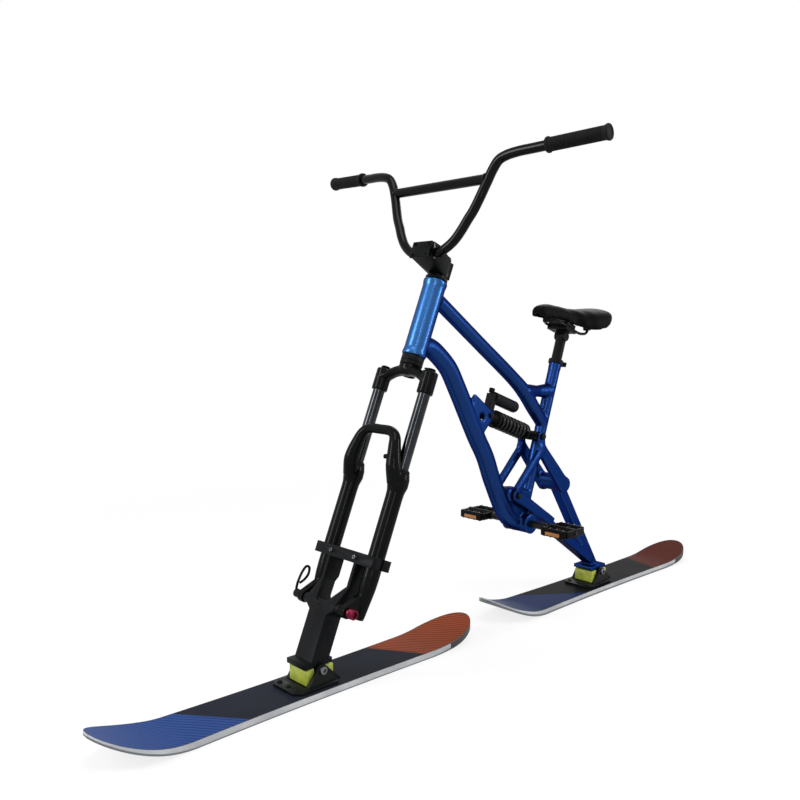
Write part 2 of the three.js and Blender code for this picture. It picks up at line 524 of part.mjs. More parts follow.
// Adapter between the fork's axle and the front ski's mount.
function adapterGeometry() {
  const axle = v3(fork.legForward + fork.axleForward, 0, legTop - fork.axleDrop);
  const barTop = legTop - adapter.barDrop + adapter.barHeight / 2;
  const barLow = barTop - adapter.barHeight;
  const shoulder = axle.z - adapter.shoulderDrop;
  const post = adapter.postWidth / 2;
  const low = axle.z - adapter.postDrop;
  const slotCorner = axle.z + adapter.flareHigh;
  const slotLow = axle.z + adapter.slotAbove;
  const prongTop = barLow + fit.run;
  // Seen from the front: a post that opens into two prongs with a slot between them.
  const halfFront = [[post, low], [post, shoulder], [adapter.prongOuter, axle.z - adapter.prongFootDrop],
    [adapter.prongOuter, prongTop], [adapter.prongInner, prongTop], [adapter.prongInner, slotCorner],
    [adapter.slotHalf, slotLow]];
  const frontOutline = [...halfFront, ...halfFront.map(([y, z]) => [-y, z]).reverse()];
  const [back, front] = [adapter.prongForward - adapter.postDepth / 2, adapter.postForward + adapter.postDepth / 2];
  const faceOn = slab(new THREE.Shape(frontOutline.map(([y, z]) => new THREE.Vector2(y, z))), back, front);
  // Seen from the side: the post stands under the axle and the prongs lean back to the fork's legs.
  const barBack = fork.legForward + fit.seat + adapter.barCorner;
  const [flareLow, flareHigh] = [axle.z + adapter.flareLow, axle.z + adapter.flareHigh];
  const sideOutline = [[front, low], [front, flareLow], [back + adapter.postDepth, flareHigh],
    [back + adapter.postDepth, prongTop], [barBack, prongTop], [barBack, barLow - fit.seat],
    [back, barLow - fit.seat], [back, flareHigh + adapter.flareLag],
    [front - adapter.postDepth, flareLow + adapter.flareLag], [front - adapter.postDepth, low]];
  const sideOn = plate(new THREE.Shape(sideOutline.map(([x, z]) => new THREE.Vector2(x, z))), 0,
    adapter.barWidth);
  const yoke = common(faceOn, sideOn);
  const hub = rod(adapter.hubRadius, axle.clone().setY(-adapter.hubLength / 2),
    axle.clone().setY(adapter.hubLength / 2));
  const half = adapter.barWidth / 2;
  const clamp = block(v3(barBack, -half, barLow), v3(barBack + adapter.barDepth, half, barTop));
  const grooves = legSides.map(({ y }) =>
    legRod(fork.legRadius + fit.seat, y, barLow - fit.overrun, barTop + fit.overrun));
  const bolts = Object.values(side).map((s) =>
    clampBoltRod(s, adapter.clampBoltRadius + fit.seat, -half, half));
  const axleBore = rod(fork.axleRadius + fit.seat, axle.clone().setY(-half), axle.clone().setY(half),
    facets.small);
  const upright = toBike(cut(joined([yoke, hub, clamp]), [...grooves, ...bolts, axleBore]));
  const floor = mount.pivotHeight + mount.flangeRise + fit.run;
  const big = ski.length;
  const above = common(upright, block(v3(-big, -big, floor), v3(big, big, big)));
  return cut(joined([above, ...footPieces(mount.frontX)]), [footBore(mount.frontX)]);
}

const clampHeight = legTop - adapter.barDrop;
function clampBoltRod(s, radius, back, front) {
  const y = (s * adapter.clampBoltSpread) / 2;
  return rod(radius, v3(back, y, clampHeight), v3(front, y, clampHeight), facets.small);
}

function addAdapter() {
  const axle = v3(fork.legForward + fork.axleForward, 0, legTop - fork.axleDrop);
  const half = adapter.barWidth / 2;
  const rearFace = fork.legForward - fit.seat - adapter.barCorner;
  const barLow = clampHeight - adapter.barHeight / 2;
  const grooves = legSides.map(({ y }) => legRod(fork.legRadius + fit.seat, y, barLow - fit.overrun,
    barLow + adapter.barHeight + fit.overrun));
  const bolts = Object.values(side).map((s) =>
    clampBoltRod(s, adapter.clampBoltRadius + fit.seat, -half, half));
  const rearBar = block(v3(rearFace - adapter.barDepth, -half, barLow),
    v3(rearFace, half, barLow + adapter.barHeight));
  add(bike, 'ski_adapter', adapterGeometry(), 'satinBlack');
  add(steering, 'clamp_rear_bar', cut(rearBar, [...grooves, ...bolts]), 'satinBlack');
  const boltBack = rearFace - adapter.barDepth - fit.seat;
  const boltFront = fork.legForward + adapter.barCorner + adapter.barDepth + 2 * fit.seat;
  for (const [name, s] of Object.entries(side)) {
    const y = (s * adapter.clampBoltSpread) / 2;
    const grip = boltFront - boltBack;
    const { clampHeadThick: h, clampHeadRadius: r, clampBoltRadius: shank } = adapter;
    const profile = [[0, 0], [r, 0], [r, h], [shank, h], [shank, h + grip], [r, h + grip],
      [r, 2 * h + grip], [0, 2 * h + grip]];
    add(steering, `clamp_bolt_${name}`, turned(profile, v3(boltBack - h, y, clampHeight),
      v3(boltFront, y, clampHeight), facets.small), 'polished');
  }
  const outer = adapter.hubLength / 2 + fork.dropoutThick + 2 * fit.seat;
  const onAxle = (y) => axle.clone().setY(y);
  const [knobEnd, leverEnd] = [outer + fork.knobThick, -outer - adapter.leverThick];
  const [axleLeft, axleRight] = [outer + fork.knobThick / 2, -outer - adapter.leverThick / 2];
  const axleRod = (radius, extra) =>
    rod(radius, onAxle(axleRight - extra), onAxle(axleLeft + extra), facets.small);
  add(steering, 'front_axle', axleRod(fork.axleRadius, 0), 'polished');
  const hole = axleRod(fork.axleRadius + fit.seat, fit.seat);
  const knob = rod(fork.knobRadius, onAxle(outer), onAxle(knobEnd));
  add(steering, 'axle_knob', cut(knob, [hole]), 'redAnodised');
  const leverHub = rod(adapter.leverRadius, onAxle(-outer), onAxle(leverEnd));
  const leverY = leverEnd + adapter.leverBar;
  const armPoint = (ahead, outward, above) => v3(axle.x + ahead, leverY - outward, axle.z + above);
  const armPath = [armPoint(0, 0, 0), armPoint(adapter.leverBar, adapter.leverBar, adapter.leverLength / 2),
    armPoint(0, adapter.leverBar, adapter.leverLength)];
  const arm = bentTube(armPath, adapter.leverBar, facets.leverSteps, facets.small);
  add(steering, 'axle_lever', cut(joined([leverHub, arm]), [hole]), 'polished');
}

// Stem, bar and grips

const barPath = barPathShares.map(([across, forward, up]) =>
  v3(barCentre.x + bar.sweep * forward, bar.halfWidth * across, barCentre.z + bar.rise * up));

function barTube(radius) {
  const mirrored = barPath.slice(1).map((p) => v3(p.x, -p.y, p.z));
  return bentTube([...mirrored.reverse(), ...barPath], radius, facets.barSteps, facets.small);
}

// The bar's point and heading where its straight end section is a given distance from the middle.
function barPointAt(across) {
  const [inner, outer] = [barPath[barPath.length - 4], barPath[barPath.length - 1]];
  return inner.clone().lerp(outer, (across - inner.y) / (outer.y - inner.y));
}

function addCockpit() {
  const cupLow = v3(0, 0, -fit.seat);
  const [cupBore, spigot] = [fork.steererRadius + fit.run, head.bore - fit.seat];
  const cup = (flange, at, direction) => turned([[cupBore, -head.cupSpigot], [spigot, -head.cupSpigot],
    [spigot, 0], [head.cupRadius, 0], [head.cupRadius, flange], [cupBore, flange], [cupBore, -head.cupSpigot]],
  at, at.clone().add(v3(0, 0, direction)));
  add(steering, 'headset_lower_cup', cup(head.lowerCup - fit.seat, cupLow, -1), 'satinBlack');
  const cupHigh = v3(0, 0, head.length + fit.seat);
  add(steering, 'headset_upper_cup', cup(head.upperCup - fit.seat, cupHigh, 1), 'satinBlack');
  const spacerLow = head.length + head.upperCup + fit.seat;
  add(steering, 'headset_spacer', ring(fork.steererRadius + fit.seat, bar.stemRadius - fit.run,
    v3(0, 0, spacerLow), v3(0, 0, spacerLow + bar.spacer - fit.seat)), 'glossBlack');
  const clampHalf = bar.clampWidth / 2;
  const onBar = (y) => barCentre.clone().setY(y);
  const clampTube = rod(bar.clampRadius, onBar(-clampHalf), onBar(clampHalf));
  const barBore = rod(bar.radius + fit.seat, onBar(-bar.clampWidth), onBar(bar.clampWidth));
  const splitX = barCentre.x + bar.splitGap / 2;
  const big = bar.clampWidth;
  const ahead = (x) => block(v3(x, -big, barCentre.z - big), v3(x + big, big, barCentre.z + big));
  const behind = (x) => block(v3(x - big, -big, barCentre.z - big), v3(x, big, barCentre.z + big));
  const neckOutline = band([[0, stemLow + bar.neckRise, bar.neckRadius],
    [barCentre.x, barCentre.z, bar.neckRadius]]);
  const neck = plate(neckOutline, 0, bar.neckWidth);
  const steererClamp = rod(bar.stemRadius, v3(0, 0, stemLow), v3(0, 0, stemTop));
  const steererBore = rod(fork.steererRadius + fit.seat, v3(0, 0, stemLow - fit.overrun),
    v3(0, 0, stemTop + fit.overrun));
  const stemBody = joined([steererClamp, neck, clampTube]);
  const stem = cut(stemBody, [barBore, steererBore, ahead(splitX - bar.splitGap)]);
  add(steering, 'stem', stem, 'satinBlack');
  add(steering, 'stem_faceplate', cut(clampTube, [barBore, behind(splitX)]), 'satinBlack');
  add(steering, 'stem_top_cap', turned([[0, 0], [bar.capRadius, 0], [bar.capRadius, bar.capThick / 2],
    [bar.capRadius - bar.capThick, bar.capThick], [0, bar.capThick]],
  v3(0, 0, stemTop + fit.seat), v3(0, 0, stemTop + bar.capThick)), 'satinBlack');
  add(steering, 'handlebar', surface(solid(barTube(bar.radius))), 'glossBlack');
  const crossZ = barCentre.z + bar.crossHeight;
  const near = barPath.findIndex((p) => p.z > crossZ);
  const share = (crossZ - barPath[near - 1].z) / (barPath[near].z - barPath[near - 1].z);
  const joint = barPath[near - 1].clone().lerp(barPath[near], share);
  const cross = rod(bar.crossRadius, v3(joint.x, -joint.y, joint.z), joint, facets.small);
  add(steering, 'crossbar', cut(cross, [barTube(bar.radius + fit.seat)]), 'glossBlack');
  for (const [name, s] of Object.entries(side)) {
    const flip = (p) => v3(p.x, s * p.y, p.z);
    const start = flip(barPointAt(bar.halfWidth - bar.gripLength));
    const end = flip(barPointAt(bar.halfWidth + bar.gripEnd));
    const total = start.distanceTo(end);
    const [flange, sleeve, thick] = [bar.flangeRadius, bar.gripRadius, bar.flangeThick];
    const grip = turned([[0, 0], [flange, 0], [flange, thick], [sleeve, thick + fit.run],
      [sleeve, total - thick - fit.run], [flange, total - thick], [flange, total], [0, total]], start, end);
    const tip = flip(barPath[barPath.length - 1]);
    const bore = rod(bar.radius + fit.seat, start.clone().lerp(tip, -fit.overrun / total),
      tip.clone().lerp(end, fit.seat / bar.gripEnd));
    add(steering, `grip_${name}`, cut(grip, [bore]), 'rubber');
  }
  // Lockout and preload knobs on top of the two crown bosses.
  for (const { name, y } of legSides) {
    const at = (z) => v3(fork.legForward, y, z);
    const base = crownTop - fork.bossDrop + fit.seat;
    const knob = rod(fork.knobRadius, at(base), at(base + fork.knobHeight));
    const tab = block(v3(fork.legForward, y - fork.rodRadius, base),
      v3(fork.legForward + fork.bossRadius, y + fork.rodRadius, base + fork.tabThick));
    if (name === 'left') add(steering, 'lockout_knob', joined([knob, tab]), 'satinBlack');
    else add(steering, 'preload_knob', knob, 'satinBlack');
  }
}

add(steering, 'fork_crown', crownGeometry(), 'satinBlack');
addSteeringTubes();
addLowers();
addAdapter();
addCockpit();

// Main frame

const shell = v3(frame.shellX, 0, frame.shellZ);
const alongSeat = v3(-Math.sin(frame.seatTilt), 0, Math.cos(frame.seatTilt));
const seatPoint = (distance) => shell.clone().addScaledVector(alongSeat, distance);
const headPoint = (distance) => v3(0, 0, distance).applyMatrix4(steering.matrixWorld);
const fromShell = (aheadBy, above) => v3(shell.x + aheadBy, 0, shell.z + above);
const pivot = fromShell(frame.pivotAhead, frame.pivotAbove);
const shockFront = fromShell(shock.frontAhead, shock.frontAbove);
const shockRear = fromShell(shock.rearAhead, shock.rearAbove);
const across = (point, radius, half, sides) =>
  rod(radius, point.clone().setY(-half), point.clone().setY(half), sides);

function shockBracket() {
  const upper = [shockFront.x + bracket.upperAhead, shockFront.z + bracket.upperRise, bracket.footRound];
  const lower = [shockFront.x + bracket.lowerAhead, shockFront.z - bracket.lowerDrop, bracket.footRound];
  const eye = [shockFront.x, shockFront.z, bracket.cheekRound];
  const cheekMiddle = shock.eyeWidth / 2 + fit.run + bracket.cheekThick / 2;
  const cheeks = Object.values(side).map((s) =>
    plate(band([upper, eye, lower]), s * cheekMiddle, bracket.cheekThick));
  const holeAt = v3(shockFront.x + bracket.holeAhead, 0, shockFront.z - bracket.holeDrop);
  const hole = across(holeAt, bracket.holeRadius, frame.shellLength, facets.small);
  const clear = across(shockFront, shock.eyeRadius + bracket.webClear, shock.eyeWidth / 2 + fit.run);
  const web = cut(plate(band([upper, eye, lower]), 0, bracket.webThick), [clear]);
  return { pieces: [web, ...cheeks], hole };
}

function frameGeometry() {
  const bell = head.radius + head.bellGrow;
  const headTube = turned([[0, 0], [bell, 0], [bell, head.bellRun / 2], [head.radius, head.bellRun],
    [head.radius, head.length - head.bellRun], [bell, head.length - head.bellRun / 2], [bell, head.length],
    [0, head.length]], headPoint(0), headPoint(head.length));
  const knee = fromShell(frame.kneeAhead, frame.kneeAbove);
  const strutEnd = seatPoint(frame.seatLength * frame.strutMeetShare);
  const topStart = headPoint(frame.topStart);
  const alongTop = (share) => topStart.clone().lerp(knee, share);
  const alongStrut = (share) => knee.clone().lerp(strutEnd, share);
  const topPath = [topStart, alongTop(frame.topMidShare), alongTop(frame.topEndShare),
    alongStrut(frame.kneeTurnShare), alongStrut(frame.strutMidShare), strutEnd];
  const topTube = bentTube(topPath, frame.topRadius, facets.frameSteps);
  const bridge = rod(frame.bridgeRadius, alongStrut(frame.bridgeStartShare),
    seatPoint(frame.seatLength * frame.bridgeMeetShare));
  const rise = headPoint(0).sub(shell);
  const downPoints = downPathShares.map(([x, z]) => fromShell(rise.x * x, rise.z * z));
  const downTube = bentTube(downPoints, frame.downRadius, facets.frameSteps);
  const seatTube = rod(frame.seatRadius, shell, seatPoint(frame.seatLength));
  const shellTube = across(shell, frame.shellRadius, frame.shellLength / 2);
  const webOutline = new THREE.Shape(webOutlineShares.map(([x, z]) =>
    new THREE.Vector2(shell.x + frame.pivotAhead * x, shell.z + frame.pivotAbove * z)));
  const web = plate(webOutline, 0, frame.webWidth);
  const hub = across(pivot, frame.hubRadius, frame.hubLength / 2);
  const { pieces, hole } = shockBracket();
  const body = joined([headTube, topTube, bridge, downTube, seatTube, shellTube, web, hub, ...pieces]);
  const headBore = rod(head.bore, headPoint(-fit.overrun), headPoint(head.length + fit.overrun));
  const seatBore = rod(frame.seatBore, seatPoint(frame.seatLength - frame.seatBoreDepth),
    seatPoint(frame.seatLength + fit.overrun));
  return cut(body, [headBore, seatBore, hole,
    across(shell, frame.shellBore, frame.shellLength),
    across(pivot, frame.pivotRadius + fit.seat, frame.shellLength, facets.small),
    across(shockFront, shock.boltRadius + fit.seat, frame.shellLength, facets.small)]);
}

function addFrame() {
  add(bike, 'main_frame', frameGeometry(), 'frameBlue');
  const plateOuter = swing.plateMid + swing.plateThick / 2 + fit.seat;
  add(bike, 'swingarm_axle', crossBolt(pivot.x, pivot.z, frame.pivotRadius, plateOuter,
    mount.boltHeadRadius, mount.boltHeadThick), 'polished');
  const cheekOuter = shock.eyeWidth / 2 + fit.run + bracket.cheekThick + fit.seat;
  add(bike, 'shock_front_bolt', crossBolt(shockFront.x, shockFront.z, shock.boltRadius, cheekOuter,
    mount.boltHeadRadius, mount.boltHeadThick), 'polished');
  const { spindleHalf: mid, pinHalf: end } = peg;
  const spindleProfile = [[0, -end], [peg.pinRadius, -end], [peg.pinRadius, -mid], [peg.spindleRadius, -mid],
    [peg.spindleRadius, mid], [peg.pinRadius, mid], [peg.pinRadius, end], [0, end]];
  add(bike, 'peg_spindle', turned(spindleProfile, shell, shell.clone().setY(end)), 'steel');
  for (const [name, s] of Object.entries(side)) {
    const outline = new THREE.Shape();
    const [a, b, r] = [peg.length / 2, peg.height / 2, peg.corner];
    outline.moveTo(shell.x - a, shell.z - b + r);
    outline.lineTo(shell.x - a + r, shell.z - b);
    outline.lineTo(shell.x + a - r, shell.z - b);
    outline.lineTo(shell.x + a, shell.z - b + r);
    outline.lineTo(shell.x + a, shell.z + b - r);
    outline.lineTo(shell.x + a - r, shell.z + b);
    outline.lineTo(shell.x - a + r, shell.z + b);
    outline.lineTo(shell.x - a, shell.z + b - r);
    const middle = s * (peg.start + peg.width / 2);
    const bore = across(shell, peg.bore, peg.pinHalf + fit.run, facets.small);
    add(bike, `pedal_${name}`, cut(plate(outline, middle, peg.width), [bore]), 'satinBlack');
  }
}
addFrame();

// Swingarm

function swingarmGeometry() {
  const rear = v3(mount.rearX, 0, mount.pivotHeight);
  const tail = fromShell(-swing.tailBack, swing.tailAbove);
  const vertex = fromShell(swing.vertexAhead, swing.vertexAbove);
  const yoke = fromShell(-swing.yokeBack, swing.yokeAbove);
  const strutFoot = v3(pivot.x, 0, pivot.z + swing.strutAbove);
  const circle = (p, r) => [p.x, p.z, r];
  const pieces = Object.values(side).flatMap((s) => {
    const y = s * swing.plateMid;
    const link = (from, to, thick) => plate(band([from, to]), y, thick);
    return [
      link(circle(tail, swing.tailRound), circle(pivot, swing.plateRound), swing.plateThick),
      link(circle(vertex, swing.vertexRound), circle(shockRear, swing.eyeRound), swing.plateThick),
      link(circle(yoke, swing.stayRound), circle(vertex, swing.stayRound), swing.stayThick),
      rod(swing.strutRadius, strutFoot.clone().setY(y), vertex.clone().setY(y), facets.small),
    ];
  });
  const outer = swing.plateMid + swing.stayThick / 2;
  const yokeTop = yoke.clone().lerp(vertex, swing.yokeRiseShare);
  const yokeOutline = band([circle(yoke, swing.yokeRound), circle(yokeTop, swing.yokeRound)]);
  const yokeBlock = plate(yokeOutline, 0, 2 * outer);
  const footTop = v3(rear.x, 0, mount.pivotHeight + mount.flangeRise + mount.flangeThick / 2);
  const upperStart = v3(yoke.x - swing.upperBack, 0, yoke.z);
  const upper = beam(upperStart, footTop, swing.upperDepth, swing.upperDepth, swing.upperWidth);
  const armRear = v3(rear.x + swing.armRearAbove / 2, 0, mount.pivotHeight + swing.armRearAbove);
  const armWide = 2 * (swing.plateMid + swing.plateThick / 2);
  const lower = beam(tail, armRear, swing.armFrontHeight, swing.armRearHeight, swing.armWidth);
  const headEnd = tail.clone().lerp(armRear, swing.armHeadShare);
  const lowerHead = beam(tail, headEnd, swing.armFrontHeight, swing.armFrontHeight, armWide);
  const gussetOutline = [tail.clone().lerp(armRear, swing.gussetLowShare), armRear, footTop,
    footTop.clone().lerp(yoke, swing.gussetHighShare)];
  const gussetShape = new THREE.Shape(gussetOutline.map((p) => new THREE.Vector2(p.x, p.z)));
  const gusset = plate(gussetShape, 0, swing.gussetWidth);
  const body = joined([...pieces, yokeBlock, upper, lower, lowerHead, gusset]);
  const floor = mount.pivotHeight + mount.flangeRise + fit.run;
  const big = ski.length;
  const above = common(body, block(v3(-big, -big, floor), v3(big, big, big)));
  const half = frame.shellLength;
  return cut(joined([above, ...footPieces(mount.rearX)]), [footBore(mount.rearX),
    across(pivot, frame.pivotRadius + fit.seat, half, facets.small),
    across(shockRear, shock.pinRadius + fit.seat, half, facets.small)]);
}

// A straight beam between two points of the middle plane, with its own height at each end.
function beam(start, end, startHeight, endHeight, width) {
  const along = end.clone().sub(start).normalize();
  const up = v3(-along.z, 0, along.x);
  const corner = (p, h) => p.clone().addScaledVector(up, h);
  const outline = [corner(start, startHeight / 2), corner(end, endHeight / 2), corner(end, -endHeight / 2),
    corner(start, -startHeight / 2)];
  return plate(new THREE.Shape(outline.map((p) => new THREE.Vector2(p.x, p.z))), 0, width);
}

function addSwingarm() {
  add(bike, 'swingarm', swingarmGeometry(), 'frameBlue');
  // The rear shock bolt has shoulders that fill the space beside the eye.
  const inner = shock.eyeWidth / 2 + fit.seat;
  const outer = swing.plateMid - swing.plateThick / 2 - fit.seat;
  const face = swing.plateMid + swing.plateThick / 2 + fit.seat;
  const end = face + mount.boltHeadThick;
  const [pin, wide, knob] = [shock.pinRadius, shock.eyeRadius - fit.run, mount.boltHeadRadius];
  const half = [[pin, inner], [wide, inner], [wide, outer], [pin, outer], [pin, face], [knob, face],
    [knob, end], [0, end]];
  const profile = [...half.map(([r, d]) => [r, -d]).reverse(), ...half];
  const bolt = turned(profile, shockRear, shockRear.clone().setY(end), facets.small);
  add(bike, 'shock_rear_bolt', bolt, 'polished');
}
addSwingarm();

// Shock absorber: its group lies along the line from the front eye to the rear eye.

const shockGroup = new THREE.Group();
const shockRun = shockRear.clone().sub(shockFront);
const shockLength = shockRun.length();
shockGroup.position.copy(shockFront);
const shockX = shockRun.clone().normalize();
const shockZ = v3(shockX.z, 0, -shockX.x);
shockGroup.setRotationFromMatrix(new THREE.Matrix4().makeBasis(shockX, shockZ.clone().cross(shockX), shockZ));
bike.add(shockGroup);

// A tapered eye barrel across the shock.
const eyeBarrel = (x, half) => rod(shock.eyeRadius, v3(x, -half, 0), v3(x, half, 0), facets.round);
const alongShock = (from, to, radius, sides) => rod(radius, v3(from, 0, 0), v3(to, 0, 0), sides);

function coilGeometry(start, end) {
  const stepsPerTurn = 8;
  const sides = 5;
  const wire = shock.wireRadius;
  const steps = Math.round(shock.coilTurns * stepsPerTurn);
  const low = start + wire;
  const high = end - wire;
  // The first and last turn lie flat, so the pitch is taken up in between.
  const flat = 1 / shock.coilTurns;
  const ease = flat * shock.coilEaseShare;
  const rise = (t) => THREE.MathUtils.smoothstep(t, 0, 1) * ease + t * (1 - ease);
  const centres = [];
  for (let k = 0; k <= steps; k += 1) {
    const angle = (2 * Math.PI * k) / stepsPerTurn;
    centres.push(v3(low + (high - low) * rise(k / steps), shock.coilRadius * Math.cos(angle),
      shock.coilRadius * Math.sin(angle)));
  }
  const ends = [centres[0].clone().sub(centres[1]), centres[steps].clone().sub(centres[steps - 1])]
    .map((run) => run.setX(0).normalize().multiplyScalar(2 * wire));
  centres.unshift(centres[0].clone().add(ends[0]));
  centres.push(centres[centres.length - 1].clone().add(ends[1]));
  const rings = centres.map((centre, i) => {
    const [before, after] = [centres[Math.max(i - 1, 0)], centres[Math.min(i + 1, centres.length - 1)]];
    const heading = after.clone().sub(before).normalize();
    const outward = v3(0, centre.y, centre.z).normalize();
    outward.addScaledVector(heading, -outward.dot(heading)).normalize();
    const upward = heading.clone().cross(outward);
    return Array.from({ length: sides }, (_, k) => {
      const angle = (2 * Math.PI * k) / sides;
      return centre.clone().addScaledVector(outward, wire * Math.cos(angle))
        .addScaledVector(upward, wire * Math.sin(angle));
    });
  });
  let least = Infinity;
  rings.forEach((ringA, i) => rings.forEach((ringB, j) => {
    if (j - i < stepsPerTurn / 2) return;
    for (const a of ringA) for (const b of ringB) least = Math.min(least, a.distanceTo(b));
  }));
  console.log(`coil spring: least gap to itself ${least.toFixed(2)} mm`);
  return loft(rings);
}

function addShock() {
  const half = shock.eyeWidth / 2;
  const eyeBore = across(v3(0, 0, 0), shock.boltRadius + fit.seat, shock.eyeWidth, facets.small);
  const barrel = alongShock(0, shock.bodyEnd, shock.bodyRadius);
  const bridgeTop = shock.reservoirOffset + shock.reservoirRadius / 2;
  const bridge = block(v3(shock.bridgeStart, -shock.bridgeWidth / 2, 0),
    v3(shock.bridgeStart + shock.bridgeLength, shock.bridgeWidth / 2, bridgeTop));
  const onReservoir = (x) => v3(x, 0, shock.reservoirOffset);
  const socket = rod(shock.reservoirRadius + fit.seat, onReservoir(shock.reservoirStart),
    onReservoir(shock.reservoirStart + shock.reservoirLength));
  const bore = alongShock(shock.boreStart, shock.bodyEnd + fit.overrun, shock.bodyBore);
  const shockBody = cut(joined([eyeBarrel(0, half), barrel, bridge]), [eyeBore, bore, socket]);
  add(shockGroup, 'shock_body', shockBody, 'satinBlack');
  const { reservoirRadius: r, reservoirLength: l, reservoirDome: dome } = shock;
  const reservoir = turned([[0, 0], [r, 0], [r, l - dome], [r - dome / 2, l - dome / 4], [0, l]],
    onReservoir(shock.reservoirStart + fit.seat), onReservoir(shock.reservoirStart + l));
  add(shockGroup, 'shock_reservoir', reservoir, 'satinBlack');
  const knobX = shock.bridgeStart + shock.bridgeLength / 2 - shock.knobStem;
  const knobZ = bridgeTop + fit.seat;
  const { knobStem: stem, knobRadius: wide, knobThick: tall } = shock;
  const knob = turned([[0, 0], [stem, 0], [stem, stem / 2], [wide, stem / 2], [wide, tall], [0, tall]],
    v3(knobX, 0, knobZ), v3(knobX, 0, knobZ + tall));
  add(shockGroup, 'shock_adjuster_knob', knob, 'satinBlack');
  add(shockGroup, 'spring_preload_collar', ring(shock.bodyRadius + fit.seat, shock.collarRadius,
    v3(shock.collarStart, 0, 0), v3(shock.collarStart + shock.collarThick, 0, 0)), 'satinBlack');
  const coilStart = shock.collarStart + shock.collarThick + fit.seat;
  add(shockGroup, 'coil_spring', coilGeometry(coilStart, shock.perchAt - fit.seat), 'spring');
  const piston = alongShock(shock.pistonAt, shock.pistonAt + shock.pistonThick, shock.pistonRadius);
  const shaft = alongShock(shock.pistonAt, shockLength, shock.shaftRadius);
  const perch = alongShock(shock.perchAt, shock.perchAt + shock.perchThick, shock.perchRadius);
  const neck = alongShock(shock.perchAt, shockLength - shock.eyeRadius / 2, shock.pistonRadius);
  const rearBore = across(v3(shockLength, 0, 0), shock.pinRadius + shock.pinClearance, shock.eyeWidth);
  const shaftBody = cut(joined([piston, shaft, perch, neck, eyeBarrel(shockLength, half)]), [rearBore]);
  add(shockGroup, 'shock_shaft', shaftBody, 'satinBlack');
}
addShock();

// Saddle

// Saddle stations from nose to tail: share of the way along, then half width, drop of the top and depth
// of the sides as shares of the length.
const saddleStationShares = [
  [0, 0.05, 0.0, 0.035], [0.035, 0.078, -0.026, 0.055], [0.14, 0.088, -0.034, 0.07],
  [0.3, 0.108, -0.008, 0.075],
  [0.46, 0.14, 0.01, 0.1], [0.62, 0.21, 0.014, 0.145], [0.76, 0.268, 0.01, 0.185], [0.88, 0.278, 0.008, 0.18],
  [0.955, 0.225, 0.014, 0.13], [1, 0.12, 0.035, 0.06],
];

// The head of the post, which carries the saddle.
const saddleHead = seatPoint(frame.seatLength + saddle.postRise);

// One layer of the saddle between two depths below its skin: an arch at each station.
function saddleLayer(stations, outerDepth, thickness) {
  const steps = facets.saddleArch;
  const top = saddleHead.z + saddle.topAbovePost;
  return loft(stations.map(([along, halfShare, dropShare, depthShare]) => {
    const x = saddleHead.x + saddle.noseAhead - saddle.length * along;
    const arch = (depth) => Array.from({ length: steps + 1 }, (_, k) => {
      const angle = Math.PI * (k / steps);
      const half = Math.max(saddle.length * halfShare - depth, saddle.leastHalf);
      const fullSag = saddle.length * depthShare * (1 - Math.sin(angle) ** saddle.crownPower);
      const sag = depth > 0 ? fullSag * saddle.innerSagShare : fullSag;
      return v3(x, half * Math.cos(angle), top - saddle.length * dropShare - depth - sag);
    });
    return [...arch(outerDepth), ...arch(outerDepth + thickness).reverse()];
  }));
}

// The seat tube's upper end, with Z along the tube.
const seatTop = new THREE.Group();
seatTop.position.copy(seatPoint(frame.seatLength));
seatTop.rotation.y = -frame.seatTilt;
bike.add(seatTop);

function addSeatClamp() {
  const { collarHeight: h, lugReach, lugHalf, camRadius } = saddle;
  const [postFace, tubeFace, lip] = [saddle.postRadius + fit.seat, frame.seatRadius + fit.seat, fit.seat];
  const collar = turned([[tubeFace, -h / 2], [saddle.collarRadius, -h / 2], [saddle.collarRadius, h / 2],
    [postFace, h / 2], [postFace, lip], [tubeFace, lip], [tubeFace, -h / 2]], v3(0, 0, 0), v3(0, 0, h));
  const back = saddle.collarRadius + lugReach;
  const lug = cut(block(v3(-back, -lugHalf, -h / 2), v3(0, lugHalf, h / 2)),
    [rod(saddle.collarRadius - fit.run, v3(0, 0, -h), v3(0, 0, h))]);
  add(seatTop, 'seat_clamp', joined([collar, lug]), 'satinBlack');
  const cam = v3(-back + camRadius, lugHalf + fit.seat + camRadius, 0);
  const pin = rod(camRadius, cam.clone().setZ(-h / 2), cam.clone().setZ(h / 2), facets.small);
  const behind = -back - camRadius - fit.seat;
  const arm = bentTube([cam, v3(behind, lugHalf, 0), v3(behind, 0, 0), v3(behind, -saddle.leverReach, 0)],
    saddle.leverRadius, facets.leverSteps, facets.wire);
  add(seatTop, 'seat_clamp_lever', joined([pin, arm]), 'satinBlack');
}

